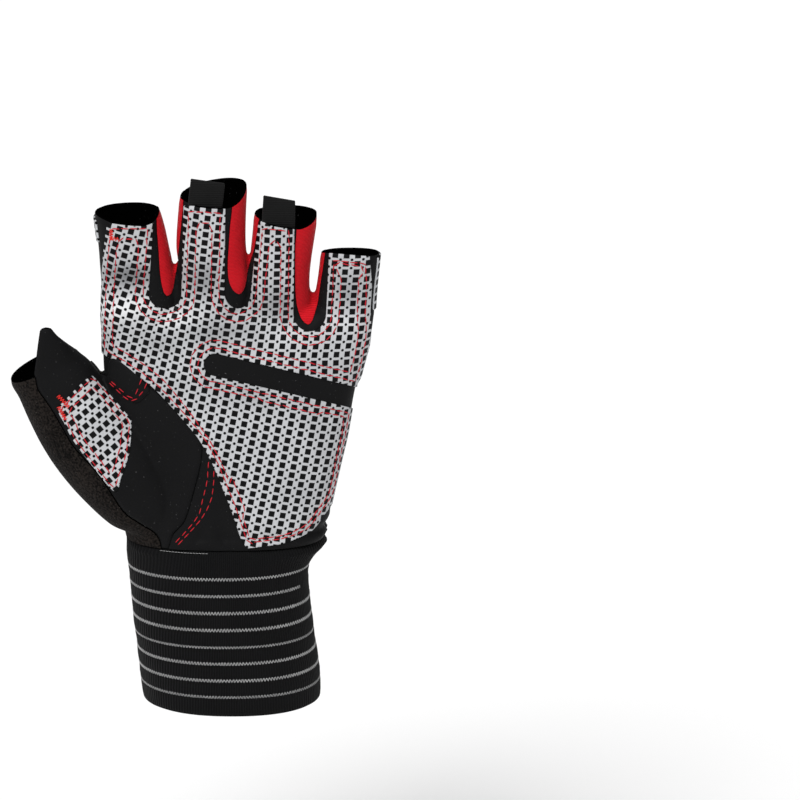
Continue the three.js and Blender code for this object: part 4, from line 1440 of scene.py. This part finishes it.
DARK_STITCH = {"Pitch": 0.0034, "Length": 0.0027, "Thickness": 0.0004}
TACK = {"Pitch": 0.0005, "Length": 0.0018, "Thickness": 0.00038, "Tilt": math.radians(76), "Wander": 0.2}
TACK_STEP = 0.4
HEEL_SEAMS = [
    seen((208.6, 465), (207, 482), (202.7, 500), (199, 514), (189.3, 527.7), (177.7, 540.2)),
    seen((214, 474), (213.5, 486), (211, 500), (206.3, 510.7), (198, 523), (180.4, 542.4)),
]
TONGUE_SEAMS = [
    seen(
        (113.7, 384.5), (121.8, 392.5), (127.6, 397.7), (132.8, 399.9), (137.9, 397.7), (143, 391.8),
        (146.7, 385.2),
    ),
    seen(
        (115.5, 383), (122.7, 389.5), (128.5, 394.8), (132.5, 396.8), (135.7, 395), (138.6, 389.6),
        (141.6, 381.5),
    ),
]
TACKS = [
    seen((113, 230), (112.8, 235), (112.5, 240)),
    seen((112.5, 238.6), (116, 239), (119.5, 239.4)),
    seen((59, 396), (64, 401), (69, 407)),
    seen((59.5, 407), (63, 413), (66, 419)),
]
double = [on_form(flowing(line, LINE_STEP), SEAM_LIFT) for line in HEEL_SEAMS]
double += [on_form(flowing(line, LINE_STEP), TONGUE_LIFT + SEAM_LIFT) for line in TONGUE_SEAMS]
sewn("seams_on_black", double, RED_THREAD, "smooth_black", **DARK_STITCH)
tacks = [on_form(flowing(line, TACK_STEP), THREAD_LIFT) for line in TACKS]
sewn("bar_tacks", tacks, TACK_THREAD, "grip", **TACK)

# %% [markdown]
# The light stripes of the wrap are woven in as fine zigzags, so the same group sews them, all the way
# round. The second from the top stops short where the elastic is gathered. A fine grey thread also shows
# along a part of the wrap's top edge.

# %% Weave the stripes
STRIPE_STOP = 26
TOP_THREAD, TOP_THREAD_ENDS = 64.0, (-26.6, -9.1)
TOP_STITCH = {"Pitch": 0.0011, "Length": 0.0014, "Thickness": 0.0002, "Detail": 1}
STRIPE_STITCH = {
    "Pitch": 0.00058, "Length": 0.0018, "Thickness": 0.00036,
    "Tilt": math.radians(70), "Detail": 1, "Wander": 0.22,
}


def stripe(z, stops):
    """A level line round the wrap, as runs of points and normals. One that stops leaves a side free."""
    made = []
    for line, up in contours(wrap, height, z, -STRIPE_SINK * 0.5):
        clear = (line[:, 0] < STRIPE_STOP) | (line[:, 1] > 0) if stops else np.ones(len(line), bool)
        start = int(np.argmin(clear)) if stops else 0
        clear, line, up = (np.roll(a, -start, axis=0) for a in (clear, line, up))
        made.append((line[clear], up[clear]))
    return made


edge, up = contours(wrap, height, TOP_THREAD, 0.0)[0]
left, right = TOP_THREAD_ENDS
shown = (edge[:, 1] < 0) & (edge[:, 0] > left) & (edge[:, 0] < right)
sewn("top_edge_thread", [(edge[shown], up[shown])], GREY_THREAD, "elastic", **TOP_STITCH)
stripes = [run for i, z in enumerate(STRIPES) for run in stripe(z, i == len(STRIPES) - 2)]
sewn("woven_stripes", stripes, GREY_THREAD, "elastic", **STRIPE_STITCH)

# %% [markdown]
# The glove is looked at from the front and a little above, from far away, so that its lines stay as they
# were measured. Two soft lights and a pale floor and sky give the even light of a product picture.

# %% Camera, floor and light
LENS, SENSOR, FRAME_WIDE = 1000, 36, 0.304
LOOK_AT = Vector((0.0642, 0, 0.1116 / math.cos(LEAN)))
FLOOR_SIDE, FLOOR_DROP = 9000, -120
SKY_LIGHT = 0.36


def add_camera():
    camera = bpy.data.cameras.new("camera")
    camera.lens = LENS
    camera.sensor_width = SENSOR
    camera.clip_end = 40
    obj = placed("camera", camera)
    obj.location = LOOK_AT + FRAME_WIDE * LENS / SENSOR * Vector((0, -math.cos(LEAN), math.sin(LEAN)))
    obj.rotation_euler = (math.pi / 2 - LEAN, 0, 0)
    bpy.context.scene.camera = obj


def add_light(name, place, softness, strength):
    """A soft light as even as a studio's, from the side of place."""
    light = bpy.data.lights.new(name, "SUN")
    light.angle = math.radians(softness)
    light.energy = strength
    obj = placed(name, light)
    obj.location = place
    obj.rotation_euler = (-Vector(place)).to_track_quat("-Z", "Y").to_euler()


def add_floor():
    corners = [(x * FLOOR_SIDE, y * FLOOR_SIDE, FLOOR_DROP) for x, y in ((-1, -1), (1, -1), (1, 1), (-1, 1))]
    obj = mesh_object("floor", corners, [(0, 1, 2, 3)])
    material, _, shader, _ = start_material("pale floor", 0.95)
    shader.inputs["Base Color"].default_value = (0.98, 0.98, 0.98, 1)
    obj.data.materials.append(material)


def add_sky():
    world = bpy.data.worlds.new("studio")
    bpy.context.scene.world = world
    world.use_nodes = True
    sky = world.node_tree.nodes["Background"]
    sky.inputs[0].default_value = (1, 1, 1, 1)
    sky.inputs[1].default_value = SKY_LIGHT


add_camera()
add_floor()
add_light("key", (-0.5, -0.85, 1.3), 30, 2.7)
add_light("fill", (1.0, -0.9, 0.5), 60, 0.3)
add_sky()
bpy.context.scene.view_settings.view_transform = "Standard"
print("camera, floor, two lights and sky ready")
